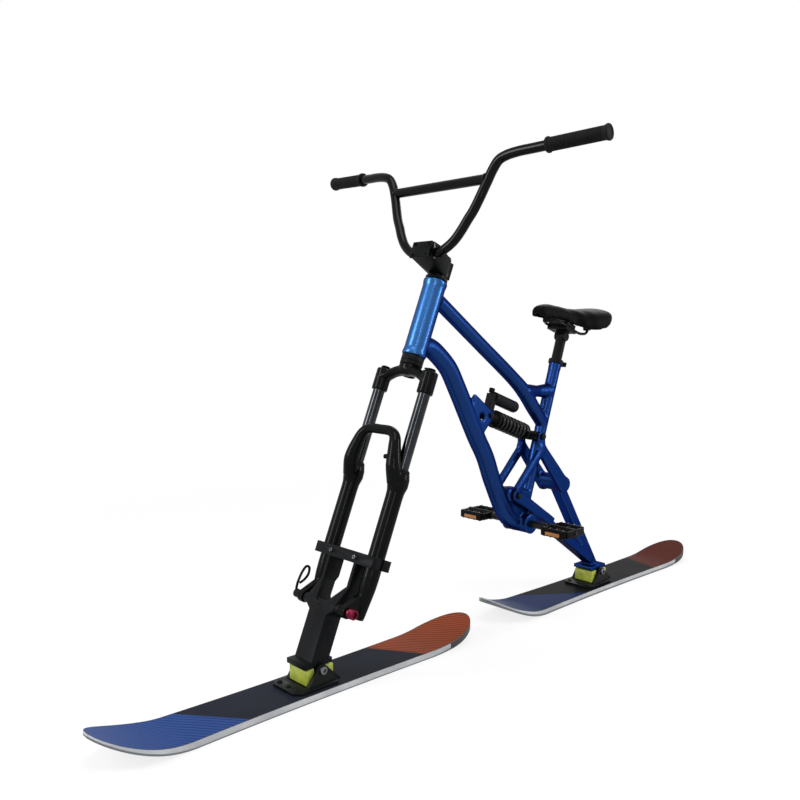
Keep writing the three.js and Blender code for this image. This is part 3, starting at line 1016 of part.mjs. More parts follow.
function addSaddle() {
  const headAt = saddleHead;
  // The rails run straight through the clamp and slope down towards the back.
  const slope = Math.tan(saddle.railTilt);
  const half = saddle.railSpread / 2;
  const railPoint = (behind, share) =>
    v3(headAt.x - behind, half * share, headAt.z + saddle.railRise - behind * slope);
  const flip = (p) => v3(p.x, -p.y, p.z);
  const tailEnd = railPoint(saddle.railBack, saddle.tailSpreadShare);
  const halfPath = [railPoint(-saddle.railFront, 0),
    railPoint(saddle.loopRun - saddle.railFront, saddle.noseLoopShare),
    railPoint(saddle.frontBend - saddle.railFront, 1), railPoint(0, 1),
    railPoint(saddle.railBack - saddle.rearBend, 1), tailEnd.clone().add(v3(0, 0, saddle.tailLift / 2)),
    tailEnd.clone().add(v3(-saddle.loopRun / 2, 0, saddle.tailLift))];
  const railPath = [...halfPath.slice(1).reverse().map(flip), ...halfPath];
  const rails = (radius) => bentTube(railPath, radius, facets.railSteps, facets.wire);
  add(bike, 'saddle_rails', surface(solid(rails(saddle.railRadius))), 'satinBlack');
  const clampPiece = (offset, length) => {
    const middle = offset * (saddle.clampThick / 2 + fit.run);
    const ends = [-length / 2, length / 2].map((d) => railPoint(d, 0).add(v3(0, 0, middle)));
    return beam(ends[1], ends[0], saddle.clampThick, saddle.clampThick, saddle.clampWidth);
  };
  const channel = rails(saddle.railRadius + fit.seat);
  const barrel = across(headAt, saddle.headRadius, saddle.headWidth / 2);
  const pillar = rod(saddle.postRadius, seatPoint(frame.seatLength - saddle.postInsert), headAt);
  const post = joined([pillar, barrel, clampPiece(-1, saddle.cradleLength)]);
  add(bike, 'seatpost', cut(post, [channel]), 'glossBlack');
  add(bike, 'rail_clamp', cut(clampPiece(1, saddle.clampLength), [channel]), 'satinBlack');
  add(bike, 'saddle_cover', saddleLayer(saddleStationShares, 0, saddle.coverThick), 'vinyl');
  // The shell under the cover holds the rails in a block at the nose and one at each wing.
  const shellStations = saddleStationShares.slice(1, -1);
  const shellLayer = saddleLayer(shellStations, saddle.coverThick + fit.seat, saddle.shellThick);
  const reach = saddle.holderLength / 2;
  const holder = (at, roofDrop) => block(v3(at.x - reach, at.y - reach, at.z - saddle.holderDrop),
    v3(at.x + reach, at.y + reach, headAt.z + saddle.topAbovePost - roofDrop));
  const rear = halfPath[halfPath.length - 1];
  const holders = [holder(halfPath[0], saddle.noseRoofDrop), holder(rear, saddle.rearRoofDrop),
    holder(flip(rear), saddle.rearRoofDrop)];
  add(bike, 'saddle_shell', cut(joined([shellLayer, ...holders]), [channel]), 'satinBlack');
}
addSeatClamp();
addSaddle();

export default bike;
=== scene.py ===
# A ski bike: a steered front ski under a suspension fork, and a rear ski under a sprung swingarm.
import math
import bpy
from mathutils import Matrix, Vector


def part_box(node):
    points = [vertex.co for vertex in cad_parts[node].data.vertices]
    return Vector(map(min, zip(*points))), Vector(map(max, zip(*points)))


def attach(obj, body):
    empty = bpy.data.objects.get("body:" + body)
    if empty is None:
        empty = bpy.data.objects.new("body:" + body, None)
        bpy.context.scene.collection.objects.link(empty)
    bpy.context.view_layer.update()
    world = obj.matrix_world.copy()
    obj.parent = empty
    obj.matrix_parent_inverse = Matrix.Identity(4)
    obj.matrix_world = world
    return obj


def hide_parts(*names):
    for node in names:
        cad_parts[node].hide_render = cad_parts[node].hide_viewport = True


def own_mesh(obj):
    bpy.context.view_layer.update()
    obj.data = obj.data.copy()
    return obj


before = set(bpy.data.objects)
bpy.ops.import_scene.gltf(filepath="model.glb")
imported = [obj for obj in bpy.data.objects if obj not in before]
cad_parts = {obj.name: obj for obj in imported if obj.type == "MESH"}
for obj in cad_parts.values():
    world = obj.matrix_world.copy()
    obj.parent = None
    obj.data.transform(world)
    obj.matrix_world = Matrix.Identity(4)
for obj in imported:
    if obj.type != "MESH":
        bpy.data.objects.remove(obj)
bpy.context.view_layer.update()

# Studio: a plain pale floor, soft lamps round a white room, and the camera where the photograph was taken.
# The floor and the room look white to the camera and in reflections, and the floor keeps the bike's shadow.
CAMERA = {"place": (1.2922, 1.1551, 0.6426), "tilt": 84.751, "turn": 137.013, "lens": 37.78, "sensor": 36}
ROOM = {"floor": 14, "below": 0.0004, "light": 0.36, "fade_start": 0.9, "fade_end": 1.9, "near_share": 0.8}
LAMPS = {
    "left_strip_lamp": {"place": (2.35, -0.95, 1.55), "aim": (0.2, 0, 0.4), "size": (0.75, 1.5), "watts": 50},
    "front_strip_lamp": {"place": (1.85, 1.9, 1.35), "aim": (0.1, 0, 0.4), "size": (0.16, 1.4), "watts": 13},
    "right_strip_lamp": {"place": (-1.5, 2.0, 1.2), "aim": (0, 0, 0.5), "size": (0.16, 1.4), "watts": 32},
    "top_softbox": {"place": (0.7, 0.5, 2.6), "aim": (0, 0, 0.3), "size": (1.4, 1.4), "watts": 30},
    "back_softbox": {"place": (-1.9, -0.9, 2.0), "aim": (0, 0, 0.4), "size": (1.4, 1.4), "watts": 24},
}


def linear(code):
    """The colour of an sRGB hex code as the shader's linear values."""
    parts = [int(code[k : k + 2], 16) / 255 for k in (1, 3, 5)]
    return [p / 12.92 if p <= 0.04045 else ((p + 0.055) / 1.055) ** 2.4 for p in parts] + [1]


def place(tree, kind, settings=None, links=None):
    """Adds one node. Settings are its own values or its sockets', and links join its sockets to outputs."""
    made = tree.nodes.new(kind)
    for name, value in (settings or {}).items():
        if isinstance(name, int) or name in made.inputs:
            made.inputs[name].default_value = value
        else:
            setattr(made, name, value)
    for name, source in (links or {}).items():
        tree.links.new(source, made.inputs[name])
    return made


def bare():
    """Goes back to object mode with nothing selected."""
    if bpy.context.object and bpy.context.object.mode != "OBJECT":
        bpy.ops.object.mode_set(mode="OBJECT")
    bpy.ops.object.select_all(action="DESELECT")


def seen_white(tree):
    """1 for what the camera and the reflections see, and 0 for the light that falls on the bike."""
    path = place(tree, "ShaderNodeLightPath")
    either = place(tree, "ShaderNodeMath", {"operation": "MAXIMUM"},
                   {0: path.outputs["Is Camera Ray"], 1: path.outputs["Is Glossy Ray"]})
    return place(tree, "ShaderNodeMath", {"operation": "MAXIMUM"},
                 {0: either.outputs[0], 1: path.outputs["Is Transmission Ray"]})


world = bpy.data.worlds.new("white_room")
bpy.context.scene.world = world
world.use_nodes = True
world.node_tree.nodes.clear()
room = world.node_tree
seen = seen_white(room)
level = place(room, "ShaderNodeMapRange", {"To Min": ROOM["light"]}, {"Value": seen.outputs[0]})
glow = place(room, "ShaderNodeBackground", {"Color": (1, 1, 1, 1)}, {"Strength": level.outputs[0]})
place(room, "ShaderNodeOutputWorld", None, {"Surface": glow.outputs[0]})

bare()
bpy.ops.mesh.primitive_plane_add(size=ROOM["floor"], location=(0, 0, -ROOM["below"]))
floor = bpy.context.object
floor.name = "studio_floor"
paper = bpy.data.materials.new("matt_white_floor")
paper.use_nodes = True
paper.node_tree.nodes.clear()
matt = place(paper.node_tree, "ShaderNodeBsdfDiffuse", {"Color": linear("#f0f0f0")})
lit = place(paper.node_tree, "ShaderNodeEmission", {"Color": (1, 1, 1, 1), "Strength": 1.0})
spot = place(paper.node_tree, "ShaderNodeTexCoord").outputs["Object"]
away = place(paper.node_tree, "ShaderNodeVectorMath", {"operation": "LENGTH"}, {0: spot}).outputs["Value"]
whiter = place(paper.node_tree, "ShaderNodeMapRange",
               {"From Min": ROOM["fade_start"], "From Max": ROOM["fade_end"], "To Min": ROOM["near_share"]},
               {"Value": away}).outputs[0]
share = place(paper.node_tree, "ShaderNodeMath", {"operation": "MULTIPLY"},
              {0: seen_white(paper.node_tree).outputs[0], 1: whiter})
both = place(paper.node_tree, "ShaderNodeMixShader", None,
             {0: share.outputs[0], 1: matt.outputs[0], 2: lit.outputs[0]})
place(paper.node_tree, "ShaderNodeOutputMaterial", None, {"Surface": both.outputs[0]})
floor.data.materials.append(paper)

for name, lamp in LAMPS.items():
    light = bpy.data.lights.new(name, "AREA")
    light.shape, light.energy = "RECTANGLE", lamp["watts"]
    light.size, light.size_y = lamp["size"]
    holder = bpy.data.objects.new(name, light)
    bpy.context.collection.objects.link(holder)
    holder.location = lamp["place"]
    holder.visible_camera = False
    aim = Vector(lamp["aim"]) - Vector(lamp["place"])
    holder.rotation_euler = aim.to_track_quat("-Z", "Y").to_euler()

view = bpy.data.cameras.new("photograph_view")
view.lens, view.sensor_width = CAMERA["lens"], CAMERA["sensor"]
camera = bpy.data.objects.new("photograph_view", view)
bpy.context.collection.objects.link(camera)
camera.location = CAMERA["place"]
camera.rotation_euler = (math.radians(CAMERA["tilt"]), 0, math.radians(CAMERA["turn"]))
bpy.context.scene.camera = camera
bpy.context.scene.view_settings.view_transform = "Standard"


# Skis: a wood core under a printed, lacquered topsheet, pale ABS sidewalls, a steel edge and a black
# polyethylene base. Each is one pressed blank, swept up at both ends and waisted in the middle.
SKI = {"length": 0.803, "thick": 0.0123, "tip_thick": 0.0068, "waist": 0.0986, "shoulder": 0.112, "tail": 0.108,
       "tip_run": 0.15, "tip_rise": 0.05, "tip_curve": 1.8, "tail_run": 0.15, "tail_rise": 0.027, "tail_curve": 2,
       "tip_round": 0.105, "tail_round": 0.088, "end": 0.014, "waist_share": 0.4926, "edge_share": 0.17,
       "end_edge": 0.36, "end_run": 0.2, "rear_edge": 0.15, "rear_tail_edge": 0.24, "rear_tail_run": 0.14,
       "rim_share": 0.499, "ends_share": 0.466, "dark_tail": -0.27, "row": (0.85, 0.9), "row_moved": 0.968,
       "rounding": 0.0014}
SKI_TAILS = {"front": 0.0315, "rear": -0.8345}
PRINT = {"soft": 0.004, "wave": 0.012, "spacing": 0.0105}


def material(name, color, metallic, roughness, **more):
    """Starts a material: its named surface, with the values that are the same all over it."""
    made = bpy.data.materials.new(name)
    made.use_nodes = True
    surface = made.node_tree.nodes["Principled BSDF"]
    surface.inputs["Base Color"].default_value = linear(color)
    surface.inputs["Metallic"].default_value = metallic
    surface.inputs["Roughness"].default_value = roughness
    for socket, value in more.items():
        surface.inputs[socket.replace("_", " ")].default_value = value
    made.diffuse_color = linear(color)
    return made, made.node_tree, surface


def grain(tree, surface, scale, height, depth=2, stretch=(1, 1, 1), roughness=None, colors=None, clouds=6):
    """Gives a surface its grain: bump with so many ridges per metre, and uneven gloss and colour. Real grit and
    tool marks are under 0.1 mm, so they are drawn as coarse as they need to be to show, 0.7 to 6 mm apart."""
    where = place(tree, "ShaderNodeTexCoord").outputs["Object"]
    mapped = place(tree, "ShaderNodeMapping", {"Scale": stretch}, {"Vector": where}).outputs[0]
    fine = place(tree, "ShaderNodeTexNoise", {"Scale": scale, "Detail": depth}, {"Vector": mapped})
    bump = place(tree, "ShaderNodeBump", {"Strength": 1.0, "Distance": height}, {"Height": fine.outputs[0]})
    tree.links.new(bump.outputs[0], surface.inputs["Normal"])
    broad = place(tree, "ShaderNodeTexNoise", {"Scale": clouds, "Detail": 4}, {"Vector": where})
    if roughness:
        even = place(tree, "ShaderNodeMapRange", {"From Min": 0.3, "From Max": 0.7, "To Min": roughness[0],
                     "To Max": roughness[1]}, {"Value": broad.outputs[0]})
        tree.links.new(even.outputs[0], surface.inputs["Roughness"])
    if colors:
        ramp = place(tree, "ShaderNodeMapRange", {"From Min": 0.35, "From Max": 0.65}, {"Value": broad.outputs[0]})
        mixed = place(tree, "ShaderNodeMix", {"data_type": "RGBA", 6: linear(colors[0]), 7: linear(colors[1])},
                      {0: ramp.outputs[0]})
        tree.links.new(mixed.outputs[2], surface.inputs["Base Color"])
    return where


def shift(tree, operation, first, second):
    """One sum on two values, each a number or an output."""
    sides = {k: v for k, v in enumerate((first, second)) if not isinstance(v, (int, float))}
    fixed = {k: v for k, v in enumerate((first, second)) if isinstance(v, (int, float))}
    return place(tree, "ShaderNodeMath", {"operation": operation, **fixed}, sides).outputs[0]


def topsheet(name, blue, rust, colors):
    """Printed topsheet under clear lacquer, which gives a satin print with a blue end, a slate middle and a rust
    end, and fine drawn lines about 10 mm apart."""
    made, tree, surface = material(name, colors["slate"], 0.0, 0.4, Specular_IOR_Level=0.012, Coat_Weight=0.004,
                                   Coat_Roughness=0.12)
    where = grain(tree, surface, 900, 0.00002, roughness=(0.28, 0.4))
    axes = place(tree, "ShaderNodeSeparateXYZ", None, {"Vector": where})
    x, y = axes.outputs["X"], axes.outputs["Y"]

    def across(lean):
        return shift(tree, "ADD", x, shift(tree, "MULTIPLY", y, lean))

    def past(edge, direction):
        return place(tree, "ShaderNodeMapRange", {"From Min": edge[0] - PRINT["soft"] * direction,
                     "From Max": edge[0] + PRINT["soft"] * direction}, {"Value": across(edge[1])}).outputs[0]

    fade = place(tree, "ShaderNodeTexNoise", {"Scale": 9, "Detail": 3}, {"Vector": where})
    worn = place(tree, "ShaderNodeMapRange", {"From Min": 0.3, "From Max": 0.7, "To Min": 0.45, "To Max": 1},
                 {"Value": fade.outputs[0]}).outputs[0]
    wavy = shift(tree, "ADD", across(blue[1]), shift(tree, "MULTIPLY", fade.outputs[0], PRINT["wave"]))
    ripple = shift(tree, "SINE", shift(tree, "MULTIPLY", wavy, 2 * math.pi / PRINT["spacing"]), 0)
    drawn = place(tree, "ShaderNodeMapRange", {"From Min": 0.15, "From Max": 0.75}, {"Value": ripple}).outputs[0]
    drawn = shift(tree, "MULTIPLY", drawn, worn)
    painted = []
    for first, second in (("blue", "deep_blue"), ("rust", "deep_rust")):
        painted.append(place(tree, "ShaderNodeMix", {"data_type": "RGBA", 6: linear(colors[first]),
                             7: linear(colors[second])}, {0: drawn}).outputs[2])
    middle = place(tree, "ShaderNodeMix", {"data_type": "RGBA", 6: linear(colors["slate"]),
                   7: linear(colors["deep_slate"])}, {0: worn}).outputs[2]
    with_blue = place(tree, "ShaderNodeMix", {"data_type": "RGBA"},
                      {0: past(blue, 1), 6: middle, 7: painted[0]}).outputs[2]
    with_rust = place(tree, "ShaderNodeMix", {"data_type": "RGBA"},
                      {0: past(rust, -1), 6: with_blue, 7: painted[1]}).outputs[2]
    tree.links.new(with_rust, surface.inputs["Base Color"])
    return made


def ski_half_width(t):
    """Half the ski's width at a distance from its tail."""
    middle = SKI["length"] * SKI["waist_share"]
    tail = t < middle
    from_end = t if tail else SKI["length"] - t
    round_run = SKI["tail_round"] if tail else SKI["tip_round"]
    end = SKI["tail"] if tail else SKI["shoulder"]
    away = min(1, abs(t - middle) / ((middle if tail else SKI["length"] - middle) - round_run))
    wide = SKI["waist"] + (end - SKI["waist"]) * away * away
    if from_end >= round_run:
        return wide / 2
    return max(SKI["end"], wide * math.sqrt(1 - (1 - from_end / round_run) ** 2)) / 2


def ski_heights(t):
    """Height of the ski's sole and of its top."""
    into_tip = max(0, t - (SKI["length"] - SKI["tip_run"])) / SKI["tip_run"]
    into_tail = max(0, SKI["tail_run"] - t) / SKI["tail_run"]
    low = SKI["tip_rise"] * into_tip ** SKI["tip_curve"] + SKI["tail_rise"] * into_tail ** SKI["tail_curve"]
    return low, low + SKI["thick"] - (SKI["thick"] - SKI["tip_thick"]) * into_tip


def alone(piece):
    """Selects this piece only, and makes it the active one."""
    bare()
    piece.select_set(True)
    bpy.context.view_layer.objects.active = piece


def shaped(piece, kind, **settings):
    """Puts one modifier on a piece and applies it."""
    alone(piece)
    tool = piece.modifiers.new(kind.lower(), kind)
    for name, value in settings.items():
        setattr(tool, name, value)
    bpy.ops.object.modifier_apply(modifier=tool.name)


def smoothed():
    """Shades the active piece smooth up to the angle past which an edge stays sharp."""
    bpy.ops.object.shade_smooth_by_angle(angle=math.radians(38))


def round_edges(piece, width, steps=2, angle=30):
    """Rounds a piece's edges and shades it smooth between them."""
    shaped(piece, "BEVEL", width=width, segments=steps, limit_method="ANGLE", angle_limit=math.radians(angle))
    smoothed()
    return piece


def mend(merge=False, wrap=False, flat=0, outward=False):
    """Merges the active piece's doubles, wraps it in its hull, melts seams flatter than this, turns faces out."""
    bpy.ops.object.mode_set(mode="EDIT")
    bpy.ops.mesh.select_all(action="SELECT")
    if merge:
        bpy.ops.mesh.remove_doubles(threshold=0.00001)
    if wrap:
        bpy.ops.mesh.convex_hull()
    if flat:
        bpy.ops.mesh.dissolve_limited(angle_limit=math.radians(flat))
    if outward:
        bpy.ops.mesh.normals_make_consistent(inside=False)
    bpy.ops.object.mode_set(mode="OBJECT")


def coat(piece, finish):
    """Gives a piece its one finish."""
    piece.data.materials.clear()
    piece.data.materials.append(finish)


def settle(piece, finish, body, slot, *nodes):
    """Coats a piece, hangs it on the body it moves with, and hides the CAD nodes it stands for. Its slot is not used.
    """
    if finish:
        coat(piece, finish)
    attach(piece, body)
    if nodes:
        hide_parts(*nodes)


# The rear ski carries the front ski's print, painted darker all over: painted shade on the rear ski.
SKI_COLORS = {
    "front": {"blue": "#2a437a", "deep_blue": "#16244a", "slate": "#23262f", "deep_slate": "#1b1e26",
              "rust": "#84422c", "deep_rust": "#451d12"},
    "rear": {"blue": "#1e2c52", "deep_blue": "#141c38", "slate": "#131416", "deep_slate": "#0d0e10",
             "rust": "#4c1d12", "deep_rust": "#2c100a"},
}
# Where the blue and the rust zones end: a place along the bike, and how far that edge leans across the ski.
SKI_ZONES = {"front": ((0.629, 0.8), (0.2285, 0.647)), "rear": ((-0.271, 1.39), (-0.651, -0.289))}
# ABS sidewalls, milled along the ski: a dull off-white with faint lengthwise streaks.
sidewall, tree, face = material("white_abs_sidewall", "#a6a8ab", 0.0, 0.5, Specular_IOR_Level=0.2)
grain(tree, face, 260, 0.00006, stretch=(0.15, 1, 1), colors=("#9a9c9f", "#b0b2b4"), clouds=14)
# Ground steel: a thin bright line with long grinding marks.
steel_edge, tree, face = material("ground_steel_edge", "#6f7276", 1.0, 0.36)
grain(tree, face, 420, 0.00004, stretch=(0.05, 1, 1), roughness=(0.3, 0.46))
# Sintered polyethylene, structured by a grinding stone: a waxy black with fine lengthwise lines.
ski_base, tree, face = material("sintered_polyethylene_base", "#111214", 0.0, 0.5)
grain(tree, face, 700, 0.00004, stretch=(0.03, 1, 1), roughness=(0.42, 0.6))
for end, tail_x in SKI_TAILS.items():
    bare()
    bpy.ops.mesh.primitive_grid_add(x_subdivisions=150, y_subdivisions=14, size=1, enter_editmode=True)
    for share in (SKI["edge_share"], 1 - SKI["edge_share"]):
        bpy.ops.mesh.extrude_region_move(TRANSFORM_OT_translate={"value": (0, 0, share)})
    mend(outward=True)
    blank = bpy.context.object
    blank.name = f"{end}_ski_blank"
    for layer in (topsheet(f"{end}_ski_topsheet", *SKI_ZONES[end], SKI_COLORS[end]), sidewall, steel_edge, ski_base):
        blank.data.materials.append(layer)
    print_layer, side_layer, edge_layer, base_layer = range(4)
    # The topsheet ends in a black rim, and the sides of the upswept tail are black too.
    for face in blank.data.polygons:
        corners = [blank.data.vertices[i].co for i in face.vertices]
        heights = [round(corner.z, 3) for corner in corners]
        high, low = max(heights), min(heights)
        ahead, aside = (max(abs(corner[k]) for corner in corners) for k in (0, 1))
        if high == low:
            inside = aside <= SKI["rim_share"] and ahead <= SKI["ends_share"]
            face.material_index = print_layer if low == 1 and inside else base_layer
        elif max(corner.x for corner in corners) < SKI["dark_tail"]:
            face.material_index = base_layer
        else:
            face.material_index = side_layer if high == 1 else edge_layer
    # The steel edge shows deeper where an end sweeps up, and deeper still on the rear ski.
    for point in blank.data.vertices:
        share = 0.5 - 0.5 * math.cos(math.pi * (point.co.x + 0.5))
        t = SKI["length"] * share
        low, high = ski_heights(t)
        across, up = 2 * point.co.y, point.co.z
        if SKI["row"][0] < abs(across) < SKI["row"][1]:
            across = math.copysign(SKI["row_moved"], across)
        if 0 < up < 1:
            up += SKI["end_edge"] * max(0, share - 1 + SKI["end_run"], SKI["end_run"] - share) / SKI["end_run"]
            if end == "rear":
                up += SKI["rear_edge"] + SKI["rear_tail_edge"] * max(0, 1 - share / SKI["rear_tail_run"])
        point.co = (tail_x + t, across * ski_half_width(t), low + (high - low) * up)
    round_edges(blank, SKI["rounding"], 2, 40)
    settle(blank, None, f"{end}_ski", "ski_laminate", f"{end}_ski")


# Ski mounts: a folded, powder-coated steel base plate with two cheeks is screwed to each ski. The leg rocks
# between the cheeks on a zinc-plated bolt, against two cast polyurethane bumpers.
MOUNT = {"pivots": {"front": 0.4295, "rear": -0.4235}, "height": 0.042, "top": 0.0173, "reach": 0.0333,
         "shank": 0.004, "head": 0.007, "head_thick": 0.0045,
         "screws": ((0.05, 0.026), (0.05, -0.026), (0.05, 0), (-0.0345, 0))}
screw_dome = [(0.0048, 0), (0.0048, 0.0012), (0.0038, 0.0028), (0.002, 0.0028), (0.0018, 0.0012)]


def copied(node, name):
    """A copy of a CAD node with its loose triangles merged, selected and active."""
    piece = bpy.data.objects.new(name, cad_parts[node].data.copy())
    bpy.context.collection.objects.link(piece)
    piece.data.materials.clear()
    alone(piece)
    mend(merge=True, flat=0.5)
    return piece


def turned(name, profile, lie, sides=48):
    """Draws a disc up through each (radius, height) as a lathe would leave it, and lays it where it goes."""
    bare()
    radius, height = profile[0]
    bpy.ops.mesh.primitive_circle_add(vertices=sides, radius=radius, fill_type="NGON", enter_editmode=True)
    bpy.ops.transform.translate(value=(0, 0, height))
    for (r0, z0), (r1, z1) in zip(profile, profile[1:]):
        bpy.ops.mesh.extrude_region_move(TRANSFORM_OT_translate={"value": (0, 0, z1 - z0)})
        if r1 != r0:
            bpy.ops.transform.resize(value=(r1 / r0, r1 / r0, 1), center_override=(0, 0, z1))
    mend(outward=True)
    piece = bpy.context.object
    piece.name = name
    piece.data.transform(lie)
    smoothed()
    return piece


def lying(point, along):
    """The place of a turned piece that starts at a point and runs along a direction."""
    turn = Vector(along).normalized().to_track_quat("Z", "Y").to_matrix().to_4x4()
    return Matrix.Translation(point) @ turn


def joined(name, pieces):
    """Makes one piece of several."""
    bare()
    for piece in pieces:
        piece.select_set(True)
    bpy.context.view_layer.objects.active = pieces[0]
    bpy.ops.object.join()
    pieces[0].name = name
    return pieces[0]


def bolt(name, middle, along, reach, shank, head, thick):
    """A cap screw right through, with a hollow socket in its head and a chamfered nut at the other end."""
    along = Vector(along).normalized()
    middle = Vector(middle)
    start = middle - along * (reach + thick)
    screw = turned(name, [(head * 0.5, thick * 0.55), (head * 0.52, 0), (head * 0.9, 0), (head, thick * 0.14),
                          (head, thick), (shank, thick), (shank, thick + 2 * reach)], lying(start, along), 32)
    nut = turned(f"{name}_nut", [(head, 0), (head, thick * 0.75), (head * 0.86, thick * 0.9)],
                 lying(middle + along * reach, along), 6)
    tip = turned(f"{name}_tip", [(shank, 0), (shank, thick * 0.8), (shank * 0.7, thick)],
                 lying(middle + along * reach, along), 24)
    return joined(name, [screw, nut, tip])


# Powder coat: a matt black with a faint orange-peel grain.
powder_black, tree, face = material("black_powder_coat", "#0a0b0c", 0.0, 0.46, Specular_IOR_Level=0.1)
grain(tree, face, 520, 0.00009, roughness=(0.36, 0.5), colors=("#08090a", "#0f1011"), clouds=22)
# Zinc plate: a dull grey metal, cloudy where the bath left it thicker.
zinc, tree, face = material("zinc_plated_steel", "#6c6f73", 1.0, 0.4)
grain(tree, face, 1400, 0.00002, roughness=(0.3, 0.44), colors=("#55575a", "#6c6f72"), clouds=60)
# Cast polyurethane: a soft yellow-green gloss that lets a little light in.
elastomer, tree, face = material("cast_polyurethane", "#98a236", 0.0, 0.42, Subsurface_Weight=0.12,
                                 Subsurface_Scale=0.004)
grain(tree, face, 380, 0.0001, roughness=(0.34, 0.5), colors=("#8b9530", "#a5ae40"), clouds=70)

for end, pivot_x in MOUNT["pivots"].items():
    ski_body = f"{end}_ski"
    plate = round_edges(copied(f"{end}_ski_mount", f"{end}_mount_plate"), 0.0008, 2, 25)
    screws = [turned("screw", screw_dome, Matrix.Translation((pivot_x + x, y, MOUNT["top"])), 24)
              for x, y in MOUNT["screws"]]
    settle(plate, powder_black, ski_body, "satin_black", f"{end}_ski_mount")
    settle(joined(f"{end}_mount_screws", screws), powder_black, ski_body, "satin_black")
    for where in ("fore", "aft"):
        block = round_edges(copied(f"{end}_bumper_{where}", f"{end}_bumper_{where}_cast"), 0.0022, 4, 25)
        settle(block, elastomer, ski_body, "bumper_green", f"{end}_bumper_{where}")
    pin = bolt(f"{end}_rocker_bolt", (pivot_x, 0, MOUNT["height"]), (0, -1, 0), MOUNT["reach"],
               MOUNT["shank"], MOUNT["head"], MOUNT["head_thick"])
    settle(pin, zinc, ski_body, "polished", f"{end}_pivot_bolt")


# Ski adapter: a black anodised aluminium post, machined from one billet. Its hub takes the fork's axle, and
# two bars with cap screws clamp its prongs round both fork legs.
STEER = Matrix.Translation((0.1805, 0, 0.5785)) @ Matrix.Rotation(math.radians(-22.6), 4, "Y")
AXLE = {"x": 0.036, "z": -0.4838, "outer": 0.0703, "knob": 0.0843, "rod": 0.0045, "half": 0.0773}
CLAMP = {"z": -0.3908, "half": 0.033, "front": 0.0268, "rear": -0.0178, "gap": 0.0003, "shank": 0.004,
         "head": 0.0038, "thick": 0.004}
SIDES = {"left": 1, "right": -1}
ACROSS = (0, 1, 0)
# Black anodising on milled aluminium: a dark satin with faint tool marks along the post.
anodised, tree, face = material("black_anodised_aluminium", "#090a0b", 0.15, 0.42, Specular_IOR_Level=0.07)
grain(tree, face, 600, 0.00005, stretch=(1, 1, 0.12), roughness=(0.4, 0.54), colors=("#07080a", "#0c0d0f"),
      clouds=16)
# Red anodising: a dyed metal that shines through its colour.
red_anodised, tree, face = material("red_anodised_aluminium", "#64172c", 0.9, 0.34)
grain(tree, face, 900, 0.00003, stretch=(1, 0.2, 1), roughness=(0.25, 0.38))
settle(round_edges(copied("ski_adapter", "adapter_post"), 0.0012, 2, 25), anodised, "lowers", "satin_black",
       "ski_adapter")
settle(round_edges(copied("clamp_rear_bar", "adapter_rear_clamp"), 0.001, 2, 25), anodised, "lowers",
       "satin_black", "clamp_rear_bar")
for name, side in SIDES.items():
    middle = STEER @ Vector(((CLAMP["front"] + CLAMP["rear"]) / 2, side * CLAMP["half"], CLAMP["z"]))
    reach = (CLAMP["front"] - CLAMP["rear"]) / 2 + CLAMP["gap"]
    screw = bolt(f"clamp_screw_{name}", middle, STEER.to_3x3() @ Vector((-1, 0, 0)), reach, CLAMP["shank"],
                 CLAMP["head"], CLAMP["thick"])
    settle(screw, zinc, "lowers", "polished", f"clamp_bolt_{name}")
axle_at = STEER @ Vector((AXLE["x"], 0, AXLE["z"]))
spindle = turned("front_axle_rod", [(AXLE["rod"], -AXLE["half"]), (AXLE["rod"], AXLE["half"])],
                 lying(axle_at, ACROSS), 24)
settle(spindle, zinc, "lowers", "steel", "front_axle")
outer, end = AXLE["outer"], AXLE["knob"]
knob = [(0.008, outer), (0.009, outer + 0.0012)]
knob += [(0.009 - 0.0006 * (k % 2), end - 0.002 - 0.0009 * k) for k in range(9, 0, -1)]
knob += [(0.009, end - 0.0012), (0.008, end), (0.0056, end), (0.0052, end - 0.004)]
settle(turned("axle_nut", knob, lying(axle_at, ACROSS), 48), red_anodised, "lowers", "red_anodised", "axle_knob")


def smooth_path(points, steps):
    """Points on one smooth line through these, evenly many between each two (centripetal)."""
    ends = [points[0] * 2 - points[1], *points, points[-1] * 2 - points[-2]]
    path = []
    for p0, p1, p2, p3 in zip(ends, ends[1:], ends[2:], ends[3:]):
        t1 = max((p1 - p0).length ** 0.5, 1e-5)
        t2 = t1 + max((p2 - p1).length ** 0.5, 1e-5)
        t3 = t2 + max((p3 - p2).length ** 0.5, 1e-5)
        for k in range(steps):
            t = t1 + (t2 - t1) * k / steps
            a1 = p0 * ((t1 - t) / t1) + p1 * (t / t1)
            a2 = p1 * ((t2 - t) / (t2 - t1)) + p2 * ((t - t1) / (t2 - t1))
            a3 = p2 * ((t3 - t) / (t3 - t2)) + p3 * ((t - t2) / (t3 - t2))
            b1 = a1 * ((t2 - t) / t2) + a2 * (t / t2)
            b2 = a2 * ((t3 - t) / (t3 - t1)) + a3 * ((t - t1) / (t3 - t1))
            path.append(b1 * ((t2 - t) / (t2 - t1)) + b2 * ((t - t1) / (t2 - t1)))
    return [*path, points[-1]]


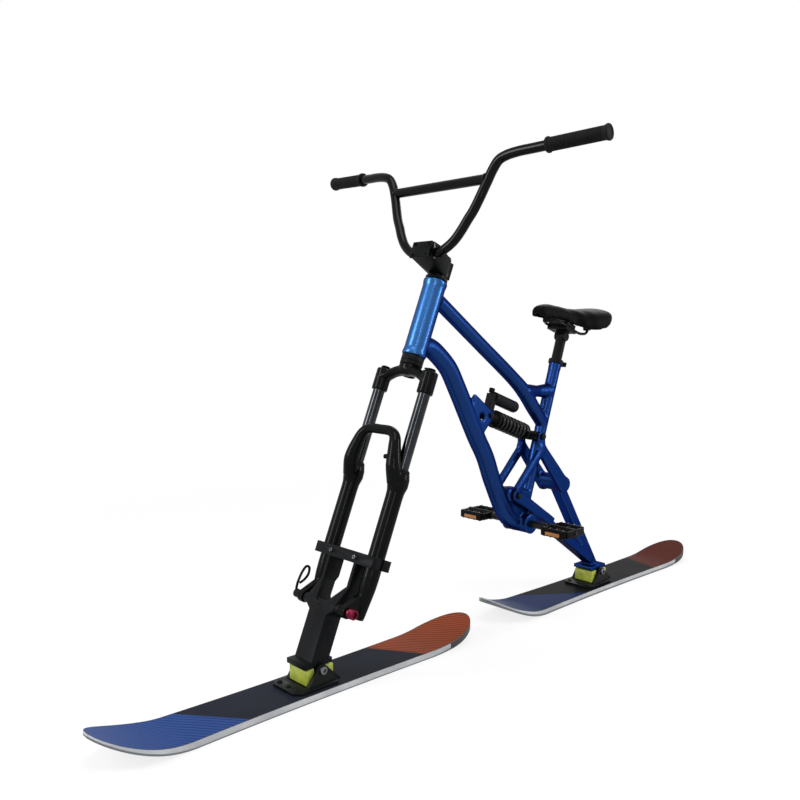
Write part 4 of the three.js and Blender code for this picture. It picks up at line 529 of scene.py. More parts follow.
def bent(name, points, radius, steps=10, sides=6, radii=None):
    """A round bar or tube bent through these points. Its radius may change from point to point."""
    line = bpy.data.curves.new(name, "CURVE")
    line.dimensions, line.bevel_depth, line.bevel_resolution, line.use_fill_caps = "3D", radius, sides, True
    path = smooth_path([Vector(p) for p in points], steps)
    spline = line.splines.new("POLY")
    spline.points.add(len(path) - 1)
    for k, (held, at) in enumerate(zip(spline.points, path)):
        held.co = (*at, 1)
        if radii:
            along = k / steps
            low = min(int(along), len(radii) - 2)
            held.radius = radii[low] + (radii[low + 1] - radii[low]) * (along - low)
    piece = bpy.data.objects.new(name, line)
    bpy.context.collection.objects.link(piece)
    alone(piece)
    bpy.ops.object.convert(target="MESH")
    mend(merge=True, outward=True)
    smoothed()
    return bpy.context.object


hook = [(0, 0.002), (-0.0015, 0.012), (-0.0065, 0.024), (-0.0155, 0.0375), (-0.0245, 0.0448), (-0.0305, 0.0415),
        (-0.0285, 0.0295), (-0.0185, 0.0205), (-0.0085, 0.0165)]
lever = bent("axle_lever_hook", [axle_at + Vector((x, -AXLE["knob"], z)) for x, z in hook], 0.0024)
boss = turned("lever_boss", [(0.007, 0), (0.0078, 0.001), (0.0078, 0.0131), (0.0066, 0.0143)],
              lying(axle_at + Vector((0, -AXLE["outer"], 0)), (0, -1, 0)), 40)
settle(joined("axle_quick_lever", [lever, boss]), anodised, "axle_lever", "satin_black", "axle_lever")


# Suspension fork: chromed steel stanchions stand in a forged crown and slide in cast magnesium legs, which one
# arch ties together ahead of the tubes. Rubber wipers close the legs, and knobs top both stanchions.
FORK = {"x": 0.0045, "half": 0.0624, "leg_top": -0.2068, "leg": 0.286, "arch_foot": -0.2408, "rise": 0.083,
        "forward": 0.023, "seal_drop": 0.0185, "stanchion": 0.0116, "stanchion_end": -0.3748, "cap": -0.0303,
        "stanchion_top": -0.0309, "web": 0.0098, "arch": 0.0092}
# Painted magnesium casting: a satin black under a thin, sharp gloss.
cast_black, tree, face = material("satin_cast_magnesium", "#040405", 0.0, 0.34, Specular_IOR_Level=0.03,
                                  Coat_Weight=0.08, Coat_Roughness=0.07)
grain(tree, face, 700, 0.00002, roughness=(0.3, 0.42), colors=("#030304", "#060707"), clouds=24)
# Hard chrome, polished lengthwise: its colour is darkened as a painted reflection of a dark room, with one bright
# stripe along the tube.
# Painted reflection: the dark base colour stands in for the dark room the chrome mirrors.
chrome, tree, face = material("hard_chromed_steel", "#2e3032", 1.0, 0.16)
grain(tree, face, 300, 0.000002, stretch=(1, 1, 0.04), roughness=(0.08, 0.13), colors=("#282a2c", "#35373a"),
      clouds=30)
# Moulded rubber: a dull black whose rough skin scatters the light.
rubber, tree, face = material("moulded_black_rubber", "#0a0a0b", 0.0, 0.72, Specular_IOR_Level=0.12)
grain(tree, face, 800, 0.00012, roughness=(0.66, 0.82), colors=("#08080a", "#101011"), clouds=50)
# Drawn steel: a plain grey metal with long draw marks.
drawn_steel, tree, face = material("drawn_steel_tube", "#6f7275", 1.0, 0.4)
grain(tree, face, 400, 0.00003, stretch=(1, 1, 0.05), roughness=(0.34, 0.5))


def fused(piece, size, rounds):
    """Runs a piece's parts together on a grid of this size, as a casting or weld does, and eases the corners."""
    shaped(piece, "REMESH", mode="VOXEL", voxel_size=size)
    shaped(piece, "SMOOTH", factor=0.5, iterations=rounds)
    bpy.ops.object.shade_smooth()
    return piece


def hull(name, circles, y, thick, lie=None):
    """A plate with straight sides round several (x, z, radius) circles."""
    piece = joined(name, [turned(name, [(r, 0), (r, thick)], lying((x, y - thick / 2, z), ACROSS), 32)
                          for x, z, r in circles])
    mend(wrap=True, flat=0.5)
    if lie:
        piece.data.transform(lie)
    return piece


def on_fork(y, up=0):
    """The place of a turned piece on one of the fork's tubes, at this height along the steering axis."""
    return STEER @ Matrix.Translation((FORK["x"], y, up))


crown_parts = [turned("crown_seat", [(0.0202, -0.0325), (0.0212, -0.031), (0.0216, -0.0205), (0.021, -0.0197)],
                      STEER, 56)]
crown_boss = [(0.0146, -0.0736), (0.0154, -0.0724), (0.0154, -0.0322), (0.0144, -0.0306)]
crown_parts += [turned("crown_boss", crown_boss, on_fork(side * FORK["half"]), 56) for side in SIDES.values()]
web_shares = [(1, -0.05), (0.8, -0.0432), (0.55, -0.0355), (0.28, -0.0312), (0, -0.0302)]
web_thick_shares, web_depth_share = [1.15, 0.92, 0.92, 1, 1.1], 1.45
web_path = [Vector((0, FORK["half"] * a, z)) for a, z in web_shares]
web_path += [Vector((0, -p.y, p.z)) for p in web_path[-2::-1]]
web = bent("crown_web", web_path, FORK["web"], 8, 8, web_thick_shares + web_thick_shares[-2::-1])
web.data.transform(on_fork(0) @ Matrix.Scale(web_depth_share, 4, (1, 0, 0)))
crown = fused(joined("forged_fork_crown", [*crown_parts, web]), 0.0012, 5)
settle(crown, cast_black, "steering", "satin_black", "fork_crown")
low = FORK["leg_top"] - FORK["leg"]
leg = [(0.0068, 0), (0.0088, 0.0012), (0.0098, 0.004), (0.0108, 0.014), (0.0128, 0.034), (0.015, 0.056),
       (0.0158, 0.076), (0.0158, 0.222), (0.0162, 0.232), (0.0182, 0.2405), (0.0192, 0.2445), (0.0188, 0.258),
       (0.0172, 0.2635), (0.0166, 0.2675)]
dropout = [(FORK["x"] + 0.002, low + 0.014, 0.0085), (AXLE["x"], AXLE["z"], 0.0115),
           (FORK["x"] + 0.003, low + 0.04, 0.009)]
dropout_at, dropout_thick = 0.06, 0.0142
lip = [(0.0118, 0.0002), (0.0156, 0.0002), (0.0158, 0.0022), (0.0148, 0.003), (0.0156, 0.0042), (0.0136, 0.0066),
       (0.0122, 0.008)]
castings = []
for name, side in SIDES.items():
    y = side * FORK["half"]
    tube = turned(f"chromed_stanchion_{name}", [(FORK["stanchion"], FORK["stanchion_end"]),
                                                (FORK["stanchion"], FORK["stanchion_top"])], on_fork(y), 64)
    settle(tube, chrome, "steering", "polished", f"stanchion_{name}")
    castings.append(turned("leg", leg, on_fork(y, low), 64))
    castings.append(hull("dropout", dropout, side * dropout_at, dropout_thick, STEER))
    wiper = turned(f"wiper_lip_{name}", lip, on_fork(y, FORK["leg_top"] - FORK["seal_drop"]), 48)
    settle(wiper, rubber, "lowers", "rubber_black", f"wiper_seal_{name}")
    coat(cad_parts[f"fork_rod_{name}"], drawn_steel)
# Half the arch: shares of its half width, of its reach ahead of the tubes and of its rise.
arch_shares = [(0.99, 0.3, -0.04), (0.94, 0.85, 0.3), (0.82, 1, 0.68), (0.7, 1, 0.92), (0.5, 1, 1.02), (0, 1, 1.04)]
arch_thick_shares = [1.7, 1.6, 1.3, 1.12, 1.02, 1]


def on_arch(aside, forward, up):
    """A place on the arch, in those shares."""
    return Vector((FORK["x"] + FORK["forward"] * forward, FORK["half"] * aside, FORK["arch_foot"] + FORK["rise"] * up))


half_arch = [on_arch(*shares) for shares in arch_shares]
whole_arch = half_arch + [Vector((p.x, -p.y, p.z)) for p in half_arch[-2::-1]]
arch = bent("arch", [STEER @ p for p in whole_arch], FORK["arch"], 10, 8,
            arch_thick_shares + arch_thick_shares[-2::-1])
castings.append(turned("hose_guide", [(0.0046, 0), (0.0046, 0.0185), (0.004, 0.019)],
                       lying(STEER @ on_arch(0.78, 0.9, 0.46), (0, -1, 0)), 24))
lowers = fused(joined("cast_fork_lowers", [*castings, arch]), 0.0013, 5)
settle(lowers, cast_black, "lowers", "satin_black", "fork_lowers")
coat(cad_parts["steerer_tube"], cast_black)
ribs = [(0.0084 + 0.0006 * (k % 2), 0.0008 + 0.0006 * k) for k in range(6)]
ribbed_cap = [(0.0082, 0), *ribs, (0.0078, 0.0056), (0.0062, 0.006), (0.0034, 0.006), (0.003, 0.0052)]
for name, y in (("lockout_knob", FORK["half"]), ("preload_knob", -FORK["half"])):
    cap = turned(f"{name}_cap", ribbed_cap, on_fork(y, FORK["cap"]), 40)
    if name == "lockout_knob":
        tab = hull("tab", [(FORK["x"], -0.0283, 0.0018), (FORK["x"] + 0.0135, -0.0283, 0.0018)], y, 0.007, STEER)
        cap = joined(cap.name, [cap, round_edges(tab, 0.0006)])
    settle(cap, anodised, name, "satin_black", name)


# Cockpit: a forged stem clamps a wide, high riser bar of heat-treated steel with a welded cross brace. Ribbed
# rubber grips are pushed on its ends, and alloy headset cups close the head tube.
BAR = {"x": 0.043, "z": 0.1953, "radius": 0.0094, "half": 0.356, "sweep": 0.0267, "rise": 0.19, "cross": 0.131,
       "brace": 0.0095}
# Half the bar: shares of its half width, of its sweep ahead and of its rise.
bar_shares = [(0, 0, 0), (0.08, 0, 0), (0.092, 0, 0), (0.134, 0.045, 0.031), (0.187, 0.11, 0.106),
              (0.228, 0.217, 0.206), (0.257, 0.307, 0.302), (0.288, 0.4, 0.398), (0.344, 0.674, 0.646),
              (0.376, 0.865, 0.775), (0.409, 1, 0.852), (0.452, 1.03, 0.886), (0.526, 0.981, 0.912),
              (0.6, 0.879, 0.926), (0.8, 0.61, 0.963), (1, 0.341, 1)]
# Baked gloss enamel: a deep black with sharp, thin highlights.
gloss_black, tree, face = material("gloss_black_enamel", "#030304", 0.0, 0.2, Specular_IOR_Level=0.03,
                                   Coat_Weight=0.13, Coat_Roughness=0.03)
grain(tree, face, 160, 0.000005, roughness=(0.16, 0.26), colors=("#030304", "#070708"), clouds=18)
half_bar = [Vector((BAR["x"] + BAR["sweep"] * f, BAR["half"] * a, BAR["z"] + BAR["rise"] * u))
            for a, f, u in bar_shares]
whole_bar = [Vector((p.x, -p.y, p.z)) for p in half_bar[:0:-1]] + half_bar
tube = bent("riser_bar", [STEER @ p for p in whole_bar], BAR["radius"], 8, 8)
cross_z = BAR["z"] + BAR["cross"]
above = next(k for k, p in enumerate(half_bar) if p.z > cross_z)
meet = half_bar[above - 1].lerp(half_bar[above], (cross_z - half_bar[above - 1].z)
                                / (half_bar[above].z - half_bar[above - 1].z))
far_side = Vector((meet.x, -meet.y, meet.z))
brace = [tube, bent("brace", [STEER @ far_side, STEER @ meet], BAR["brace"], 2, 8)]
bead = [(BAR["brace"], 0), (0.0102, 0.0008), (0.0108, 0.002), (0.0112, 0.0034), (0.011, 0.006)]
for side in SIDES.values():
    ring_at = Vector((meet.x, side * (meet.y - BAR["brace"]), meet.z))
    brace.append(turned("bead", bead, lying(STEER @ ring_at, (0, side, 0)), 40))
settle(joined("riser_handlebar", brace), gloss_black, "steering", "gloss_black", "handlebar", "crossbar")
GRIP = {"length": 0.112, "past_bar": 0.004, "ribs": 34, "rib_start": 0.009, "rib_margin": 0.02}
for name, side in SIDES.items():
    inner, outer = half_bar[-4], half_bar[-1]

    def on_bar(y):
        point = inner.lerp(outer, (y - inner.y) / (outer.y - inner.y))
        return STEER @ Vector((point.x, side * point.y, point.z))

    start, end = on_bar(BAR["half"] - GRIP["length"]), on_bar(BAR["half"] + GRIP["past_bar"])
    run = (end - start).length
    ribs = []
    for k in range(GRIP["ribs"]):
        at = GRIP["rib_start"] + (run - GRIP["rib_margin"]) * k / GRIP["ribs"]
        ribs += [(0.0124, at), (0.0124, at + 0.0016), (0.0115, at + 0.002), (0.0115, at + 0.0026)]
    grip = turned(f"ribbed_grip_{name}", [(0.0105, 0), (0.0138, 0.0004), (0.0143, 0.0016), (0.0143, 0.004),
                                          (0.0134, 0.0054), (0.012, 0.006), *ribs, (0.0124, run - 0.0096),
                                          (0.0134, run - 0.0052), (0.0142, run - 0.004), (0.0142, run - 0.0016),
                                          (0.0132, run - 0.0002), (0.0096, run), (0.0088, run - 0.0012)],
                  lying(start, end - start), 48)
    settle(grip, rubber, "steering", "rubber_black", f"grip_{name}")


def bar_of(name, low, high, edge):
    """A straight bar between two corners, with rounded edges."""
    bare()
    low, high = Vector(low), Vector(high)
    bpy.ops.mesh.primitive_cube_add(size=1, enter_editmode=True)
    bpy.ops.transform.resize(value=high - low)
    bpy.ops.object.mode_set(mode="OBJECT")
    piece = bpy.context.object
    piece.name = name
    piece.data.transform(Matrix.Translation((low + high) / 2))
    return round_edges(piece, edge, 3, 30)


STEM = {"half": 0.0262, "back": 0.007, "split": 0.0128, "face": 0.0188, "over": 0.0168, "under": 0.0135,
        "clamp": 0.018, "low": 0.1676, "high": 0.2046, "face_gap": 0.0012, "cap_gap": 0.0013,
        "lug_back": -0.0252, "lug_front": -0.01, "lug_half": 0.0095, "lug_step": 0.001}
clamp_front = bar_of("clamp", (BAR["x"] - STEM["back"], -STEM["half"], BAR["z"] - STEM["under"]),
                     (BAR["x"] + STEM["split"], STEM["half"], BAR["z"] + STEM["over"]), 0.0004)
clamp_rear = turned("clamp", [(STEM["clamp"], STEM["low"]), (STEM["clamp"], STEM["high"])], Matrix.Identity(4), 40)
stem = joined("forged_stem", [clamp_front, clamp_rear])
mend(wrap=True, flat=2)
lug = bar_of("pinch_lug", (STEM["lug_back"], -STEM["lug_half"], STEM["low"] + STEM["lug_step"]),
             (STEM["lug_front"], STEM["lug_half"], STEM["high"] - STEM["lug_step"]), 0.0014)
plate = bar_of("forged_faceplate",
               (BAR["x"] + STEM["split"] + STEM["face_gap"], -STEM["half"], BAR["z"] - STEM["over"]),
               (BAR["x"] + STEM["face"], STEM["half"], BAR["z"] + STEM["over"]), 0.0022)
stem = joined("forged_stem", [round_edges(stem, 0.0016, 3, 20), lug])
for piece, node in ((stem, "stem"), (plate, "stem_faceplate")):
    piece.data.transform(STEER)
    settle(piece, cast_black, "steering", "satin_black", node)
cap_top = STEM["high"] + STEM["cap_gap"]
cap = turned("steerer_top_cap", [(0.016, cap_top), (0.0165, cap_top + 0.0006), (0.0162, cap_top + 0.0022),
                                 (0.0128, cap_top + 0.0037), (0.0048, cap_top + 0.0037), (0.0044, cap_top + 0.0024),
                                 (0.0022, cap_top + 0.0022)], STEER, 48)
settle(cap, anodised, "steering", "satin_black", "stem_top_cap")
face_head = [(0.0032, 0), (0.0032, 0.0052), (0.0028, 0.0056), (0.0018, 0.0056), (0.0016, 0.0038)]
pinch_head = [(0.0036, -0.002), (0.0036, 0.0045), (0.003, 0.005), (0.0018, 0.005), (0.0016, 0.0034)]
head_x = BAR["x"] + STEM["face"] - 0.0038
heads = [(face_head, 1, (head_x, y, BAR["z"] + up)) for y in (0.0186, -0.0186) for up in (0.0115, -0.0115)]
heads += [(pinch_head, -1, (-0.021, 0.0035, up)) for up in (0.177, 0.195)]
screws = [turned("screw", outline, lying(STEER @ Vector(at), STEER.to_3x3() @ Vector((ahead, 0, 0))), 20)
          for outline, ahead, at in heads]
settle(joined("stem_screws", screws), anodised, "steering", "satin_black")
lower_cup = turned("headset_lower_shell", [(0.0195, -0.0193), (0.0216, -0.0188), (0.022, -0.0176), (0.022, -0.0128),
                                           (0.0208, -0.0122), (0.0208, -0.0112), (0.0219, -0.0106),
                                           (0.022, -0.0014), (0.0212, -0.0003)], STEER, 64)
upper_cup = turned("headset_upper_shell", [(0.0212, 0.1573), (0.022, 0.1582), (0.022, 0.1618), (0.0212, 0.163),
                                           (0.0176, 0.1632)], STEER, 64)
spacer = turned("headset_spacer_ring", [(0.0166, 0.1633), (0.017, 0.1637), (0.017, 0.1668), (0.0166, 0.1672)],
                STEER, 48)
settle(lower_cup, anodised, "steering", "satin_black", "headset_lower_cup")
settle(upper_cup, anodised, "steering", "satin_black", "headset_upper_cup")
settle(spacer, gloss_black, "steering", "gloss_black", "headset_spacer")


# Main frame: welded, hydroformed aluminium tubes under metallic blue paint and clear lacquer, with a machined
# shell for the foot-peg axle and lugs for the swingarm and the shock.
SHELL = Vector((-0.1465, 0, 0.205))
TUBE = {"top": 0.0146, "bridge": 0.0128, "down": 0.0192, "seat": 0.0136, "web_thick": 0.028}
BARREL = {"radius": 0.021, "half": 0.034, "chamfer": 0.0006, "bead_at": 0.0308}
PIVOT = SHELL + Vector((0.044, 0, 0.068))
HEAD = {"blend": (0.128, 0.165), "lean": 0.416, "height": 0.657, "lacquer": 0.3}
# Candy paint: a metallic blue under clear lacquer, deep along the tubes with pale blue highlights. It turns
# glossier at the head tube, and its blue is painted lighter there: painted light on the head tube. The flake is finer
# than 0.1 mm and shows only as an uneven gloss.
blue_paint, tree, face = material("candy_blue_lacquer", "#041d50", 0.9, 0.26, Specular_IOR_Level=0.1,
                                  Specular_Tint=linear("#2c4680"), Coat_Roughness=0.16)
where = grain(tree, face, 1500, 0.0000015, roughness=(0.3, 0.34))
axes = place(tree, "ShaderNodeSeparateXYZ", None, {"Vector": where})
behind = shift(tree, "MULTIPLY", shift(tree, "ADD", axes.outputs["Z"], -HEAD["height"]), HEAD["lean"])
toward_head = place(tree, "ShaderNodeMapRange", {"From Min": HEAD["blend"][0], "From Max": HEAD["blend"][1]},
                    {"Value": shift(tree, "ADD", axes.outputs["X"], behind)})
tree.links.new(shift(tree, "MULTIPLY", toward_head.outputs[0], HEAD["lacquer"]), face.inputs["Coat Weight"])
clouds = place(tree, "ShaderNodeTexNoise", {"Scale": 5, "Detail": 3}, {"Vector": where})
tube_blue = place(tree, "ShaderNodeMix", {"data_type": "RGBA", 6: linear("#162b5c"), 7: linear("#1b376c")},
                  {0: clouds.outputs[0]})
# Painted light: the blue is mixed lighter towards the head tube.
head_tube_painted_light = place(tree, "ShaderNodeMix", {"data_type": "RGBA", 7: linear("#24548a")},
                {0: toward_head.outputs[0], 6: tube_blue.outputs[2]})
tree.links.new(head_tube_painted_light.outputs[2], face.inputs["Base Color"])
SEAT = Vector((-0.3305, 0, 0.9438))
foot = STEER @ Vector((0, 0, 0))
rise = foot - SHELL
# The down tube's line: shares of the way from the shell to the head tube's foot, along and up.
down_shares = [(0.955, 1.058), (0.866, 1.042), (0.771, 0.984), (0.703, 0.925), (0.636, 0.831), (0.448, 0.542),
               (0.363, 0.424), (0.284, 0.271), (0.132, 0.048), (0.03, 0)]
bell = [(0.0225, 0), (0.0238, 0.0012), (0.0238, 0.007), (0.0224, 0.014), (0.0224, 0.143), (0.0238, 0.15),
        (0.0238, 0.1558), (0.0225, 0.157)]


def chamfered(radius, half, edge):
    """The outline of a plain drum whose two ends are chamfered."""
    return [(radius - edge, -half), (radius, edge - half), (radius, half - edge), (radius - edge, half)]


top_start, knee = STEER @ Vector((0, 0, 0.1285)), SHELL + Vector((0.003, 0, 0.3))
strut_end, bridge_end = SHELL + SEAT * 0.2261, SHELL + SEAT * 0.3019
strut_at = [knee.lerp(strut_end, share) for share in (0.12, 0.14, 0.6)]
web_plate_shares = [(0.05, 0), (1.0, 0.06), (2.0, 1.24), (0.5, 1.15), (-0.54, 0.93)]
tubes = [
    turned("head_tube", bell, STEER, 72),
    bent("top_tube", [top_start, top_start.lerp(knee, 0.5), top_start.lerp(knee, 0.9), strut_at[0], strut_at[2],
                      strut_end], TUBE["top"], 10, 9, [1, 1, 1.03, 1.12, 1.1, 1]),
    bent("bridge", [strut_at[1], strut_at[1].lerp(bridge_end, 0.5), bridge_end], TUBE["bridge"], 4, 9,
         [1.4, 1, 1.35]),
    bent("down_tube", [SHELL + Vector((rise.x * x, 0, rise.z * z)) for x, z in down_shares], TUBE["down"],
         10, 10),
    turned("seat_tube", [(TUBE["seat"], 0), (TUBE["seat"], 0.352), (0.0142, 0.354), (0.0142, 0.3694),
                         (0.0138, 0.37)], lying(SHELL, SEAT), 64),
    turned("shell", chamfered(BARREL["radius"], BARREL["half"], BARREL["chamfer"]), lying(SHELL, ACROSS), 64),
    turned("hub", chamfered(0.015, 0.02, BARREL["chamfer"]), lying(PIVOT, ACROSS), 48),
    hull("web", [(SHELL.x + (PIVOT.x - SHELL.x) * x, SHELL.z + (PIVOT.z - SHELL.z) * z, 0.003)
                 for x, z in web_plate_shares], 0, TUBE["web_thick"]),
]
FRONT = Vector((-0.0265, 0, 0.451))
LUG = {"half": 0.0145, "thick": 0.006, "hole": 0.0072, "hole_at": (0.0255, -0.0005)}
lug_corners = [(0, 0, 0.011), (0.048, 0.042, 0.006), (0.048, -0.004, 0.006), (0.022, -0.029, 0.006)]
for side in SIDES.values():
    y = side * LUG["half"]
    lug = hull("shock_lug", [(FRONT.x + x, FRONT.z + z, r) for x, z, r in lug_corners], y, LUG["thick"])
    hole = turned("hole", [(LUG["hole"], -0.01), (LUG["hole"], 0.01)],
                  lying((FRONT.x + LUG["hole_at"][0], y, FRONT.z + LUG["hole_at"][1]), ACROSS), 32)
    shaped(lug, "BOOLEAN", object=hole)
    bpy.data.objects.remove(hole)
    tubes.append(lug)
for side in SIDES.values():
    tubes.append(turned("weld_bead", [(0.0222, 0), (0.0232, 0.0008), (0.0222, 0.0016)],
                        lying(SHELL + Vector((0, side * BARREL["bead_at"], 0)), (0, side, 0)), 48))
welded = fused(joined("welded_main_frame", tubes), 0.0016, 14)
settle(welded, blue_paint, "frame", "frame_blue", "main_frame")


# Swingarm: aluminium side plates with struts up to the shock, blades down to a forged yoke block and arms below,
# all welded and under the same blue paint. It turns on a black bolt through the frame's hub.
vertex, yoke = SHELL + Vector((-0.038, 0, 0.16)), SHELL + Vector((-0.12, 0, 0.069))
ARM = {"half": 0.0277, "yoke_wide": 0.067, "bolt_reach": 0.0312}
arms = [copied("swingarm", "arms")]
for side in SIDES.values():
    for name, circles, thick in (
            ("strut", [(PIVOT.x, PIVOT.z + 0.014, 0.008), (vertex.x, vertex.z, 0.0088)], 0.0125),
            ("blade", [(vertex.x, vertex.z, 0.0125), (yoke.x, yoke.z, 0.0172)], 0.0118),
            ("pivot_boss", [(PIVOT.x, PIVOT.z, 0.0135), (PIVOT.x - 0.002, PIVOT.z + 0.004, 0.013)], 0.0064)):
        arms.append(hull(name, circles, side * ARM["half"], thick))
arms.append(hull("yoke_block", [(yoke.x - 0.004, yoke.z + 0.002, 0.0168), (yoke.x + 0.006, yoke.z + 0.008, 0.0168)],
                 0, ARM["yoke_wide"]))
settle(fused(joined("welded_swingarm", arms), 0.0015, 12), blue_paint, "swingarm", "frame_blue", "swingarm")
pivot_bolt = bolt("swingarm_pivot_bolt", PIVOT, ACROSS, ARM["bolt_reach"], 0.005, 0.007, 0.0045)
settle(pivot_bolt, anodised, "frame", "satin_black", "swingarm_axle")


# Shock absorber: an alloy body and side reservoir, an enamelled steel coil between a threaded collar and a
# perch, and a shaft with an eye.
REAR = Vector((-0.1835, 0, 0.394))
shock_x = (REAR - FRONT).normalized()
shock_z = Vector((shock_x.z, 0, -shock_x.x))
SHOCK = Matrix.Translation(FRONT) @ Matrix((shock_x, shock_z.cross(shock_x), shock_z)).transposed().to_4x4()
# Enamelled spring steel: a black wire with a soft gloss over a faint ripple.
enamelled, tree, face = material("enamelled_spring_steel", "#040405", 0.0, 0.3, Specular_IOR_Level=0.12,
                                 Coat_Weight=0.2, Coat_Roughness=0.1)
grain(tree, face, 240, 0.00006, roughness=(0.26, 0.4), colors=("#040405", "#09090a"), clouds=40)
along_shock = SHOCK @ Matrix.Rotation(math.radians(90), 4, "Y")
RESERVOIR_UP = 0.042
front_screw = bolt("shock_front_screw", FRONT, ACROSS, 0.0178, 0.0042, 0.0066, 0.004)
settle(front_screw, anodised, "frame", "satin_black", "shock_front_bolt")
settle(round_edges(copied("shock_rear_bolt", "shock_rear_pin"), 0.0005), anodised, "swingarm", "satin_black",
       "shock_rear_bolt")
settle(fused(copied("shock_body", "shock_body_casting"), 0.0008, 3), anodised, "shock_body", "satin_black",
       "shock_body")
can_foot = [(0.0118, 0.0123), (0.0128, 0.0133), (0.0128, 0.0262), (0.0122, 0.0268), (0.0122, 0.0278), (0.0128, 0.0284)]
can_dome = [(0.0128, 0.0842), (0.0124, 0.0868), (0.0112, 0.0892), (0.0092, 0.0911), (0.006, 0.0924), (0.003, 0.093),
            (0.0022, 0.0922)]
can = turned("shock_reservoir_can", can_foot + can_dome,
             SHOCK @ Matrix.Translation((0, 0, RESERVOIR_UP)) @ Matrix.Rotation(math.radians(90), 4, "Y"), 56)
settle(can, anodised, "shock_body", "satin_black", "shock_reservoir")
dial = [(0.0064 - 0.0005 * (k % 2), 0.0512 + 0.0009 * k) for k in range(9)]
dial = [(0.004, 0.0487), (0.004, 0.0506), *dial, (0.0058, 0.0594), (0.0046, 0.0597), (0.0026, 0.0597),
        (0.0024, 0.0587)]
settle(turned("damping_dial", dial, SHOCK @ Matrix.Translation((0.0035, 0, 0)), 36), anodised,
       "adjuster_knob", "satin_black", "shock_adjuster_knob")
thread = [(0.0117 + 0.0006 * (k % 2), 0.0246 + 0.0005 * k) for k in range(10)]
collar = [*thread, (0.0182, 0.0302), (0.0194, 0.031), (0.0194, 0.0328), (0.0186, 0.0333), (0.0186, 0.0338),
          (0.0194, 0.0343), (0.0194, 0.0364), (0.0186, 0.037)]
settle(turned("preload_collar_ring", collar, along_shock, 48), anodised, "shock_body", "satin_black",
       "spring_preload_collar")
COIL = {"start": 0.0373, "end": 0.1337, "turns": 7.5, "radius": 0.016, "wire": 0.0034, "per_turn": 24,
        "flat_turns": 0.4}
steps = round(COIL["turns"] * COIL["per_turn"])
ease = COIL["flat_turns"] / COIL["turns"]
coil_line = []
for k in range(steps + 1):
    t = k / steps
    wound = t * t * (3 - 2 * t) * ease + t * (1 - ease)
    x = COIL["start"] + COIL["wire"] + (COIL["end"] - COIL["start"] - 2 * COIL["wire"]) * wound
    turn = 2 * math.pi * k / COIL["per_turn"]
    coil_line.append(SHOCK @ Vector((x, COIL["radius"] * math.cos(turn), COIL["radius"] * math.sin(turn))))
coil = bent("shock_coil", coil_line, COIL["wire"], 1, 5)
settle(coil, enamelled, "shock_body", "spring_black", "coil_spring")
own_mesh(coil)
rod = [(0.005, 0.0768), (0.005, 0.1338)]
perch = [(0.0168, 0.134), (0.0184, 0.1346), (0.0186, 0.1356), (0.0184, 0.1384), (0.0172, 0.139), (0.0102, 0.1392)]
eye_stem = [(0.009, 0.141), (0.0088, 0.1585)]
shaft = turned("damper_rod", rod + perch + eye_stem, along_shock, 48)
eye_at = SHOCK @ Matrix.Translation(((REAR - FRONT).length, 0, 0))
eye = turned("eye", chamfered(0.0105, 0.011, 0.0007), eye_at @ Matrix.Rotation(math.radians(-90), 4, "X"), 48)
settle(joined("damper_shaft", [shaft, eye]), anodised, "shock_shaft", "satin_black", "shock_shaft")


# Pedals: moulded black nylon platforms with steel traction pins and amber reflectors fore and aft, turning on
# a hardened axle through the frame's shell.
PEDAL = {"half": 0.0355, "near": 0.08, "far": 0.15, "deck": 0.0088, "rail": 0.0085, "rail_inset": 0.004,
         "side": 0.0075, "side_inset": 0.006, "side_step": 0.0012, "rib": 0.0028, "rib_step": 0.003,
         "pins": 4, "pin_start": 0.011, "pin_pitch": 0.016, "lens": 0.018}
# Glass-filled nylon from a sparked mould: a flat black.
moulded, tree, face = material("moulded_black_nylon", "#040404", 0.0, 0.5, Specular_IOR_Level=0.06)
grain(tree, face, 900, 0.00006, roughness=(0.44, 0.6), colors=("#030304", "#070708"), clouds=30)
# Clear amber acrylic over moulded prisms 2.4 mm wide, which break the light into small facets.
amber, tree, face = material("amber_acrylic_reflector", "#8f5216", 0.0, 0.2, Specular_IOR_Level=0.3, Coat_Weight=0.2,
                             Coat_Roughness=0.04)
where = place(tree, "ShaderNodeTexCoord").outputs["Object"]
prisms = place(tree, "ShaderNodeTexVoronoi", {"Scale": 420, "feature": "F1", "Randomness": 0.15}, {"Vector": where})
lens = place(tree, "ShaderNodeBump", {"Distance": 0.0006}, {"Height": prisms.outputs["Distance"]})
tree.links.new(lens.outputs[0], face.inputs["Normal"])
# Each prism is painted lighter at its middle and darker at its rim: painted light and shade on the facets.
prism_painted_light = place(tree, "ShaderNodeMix", {"data_type": "RGBA", 6: linear("#a8702c"), 7: linear("#5f300e")},
              {0: prisms.outputs["Distance"]})
tree.links.new(prism_painted_light.outputs[2], face.inputs["Base Color"])
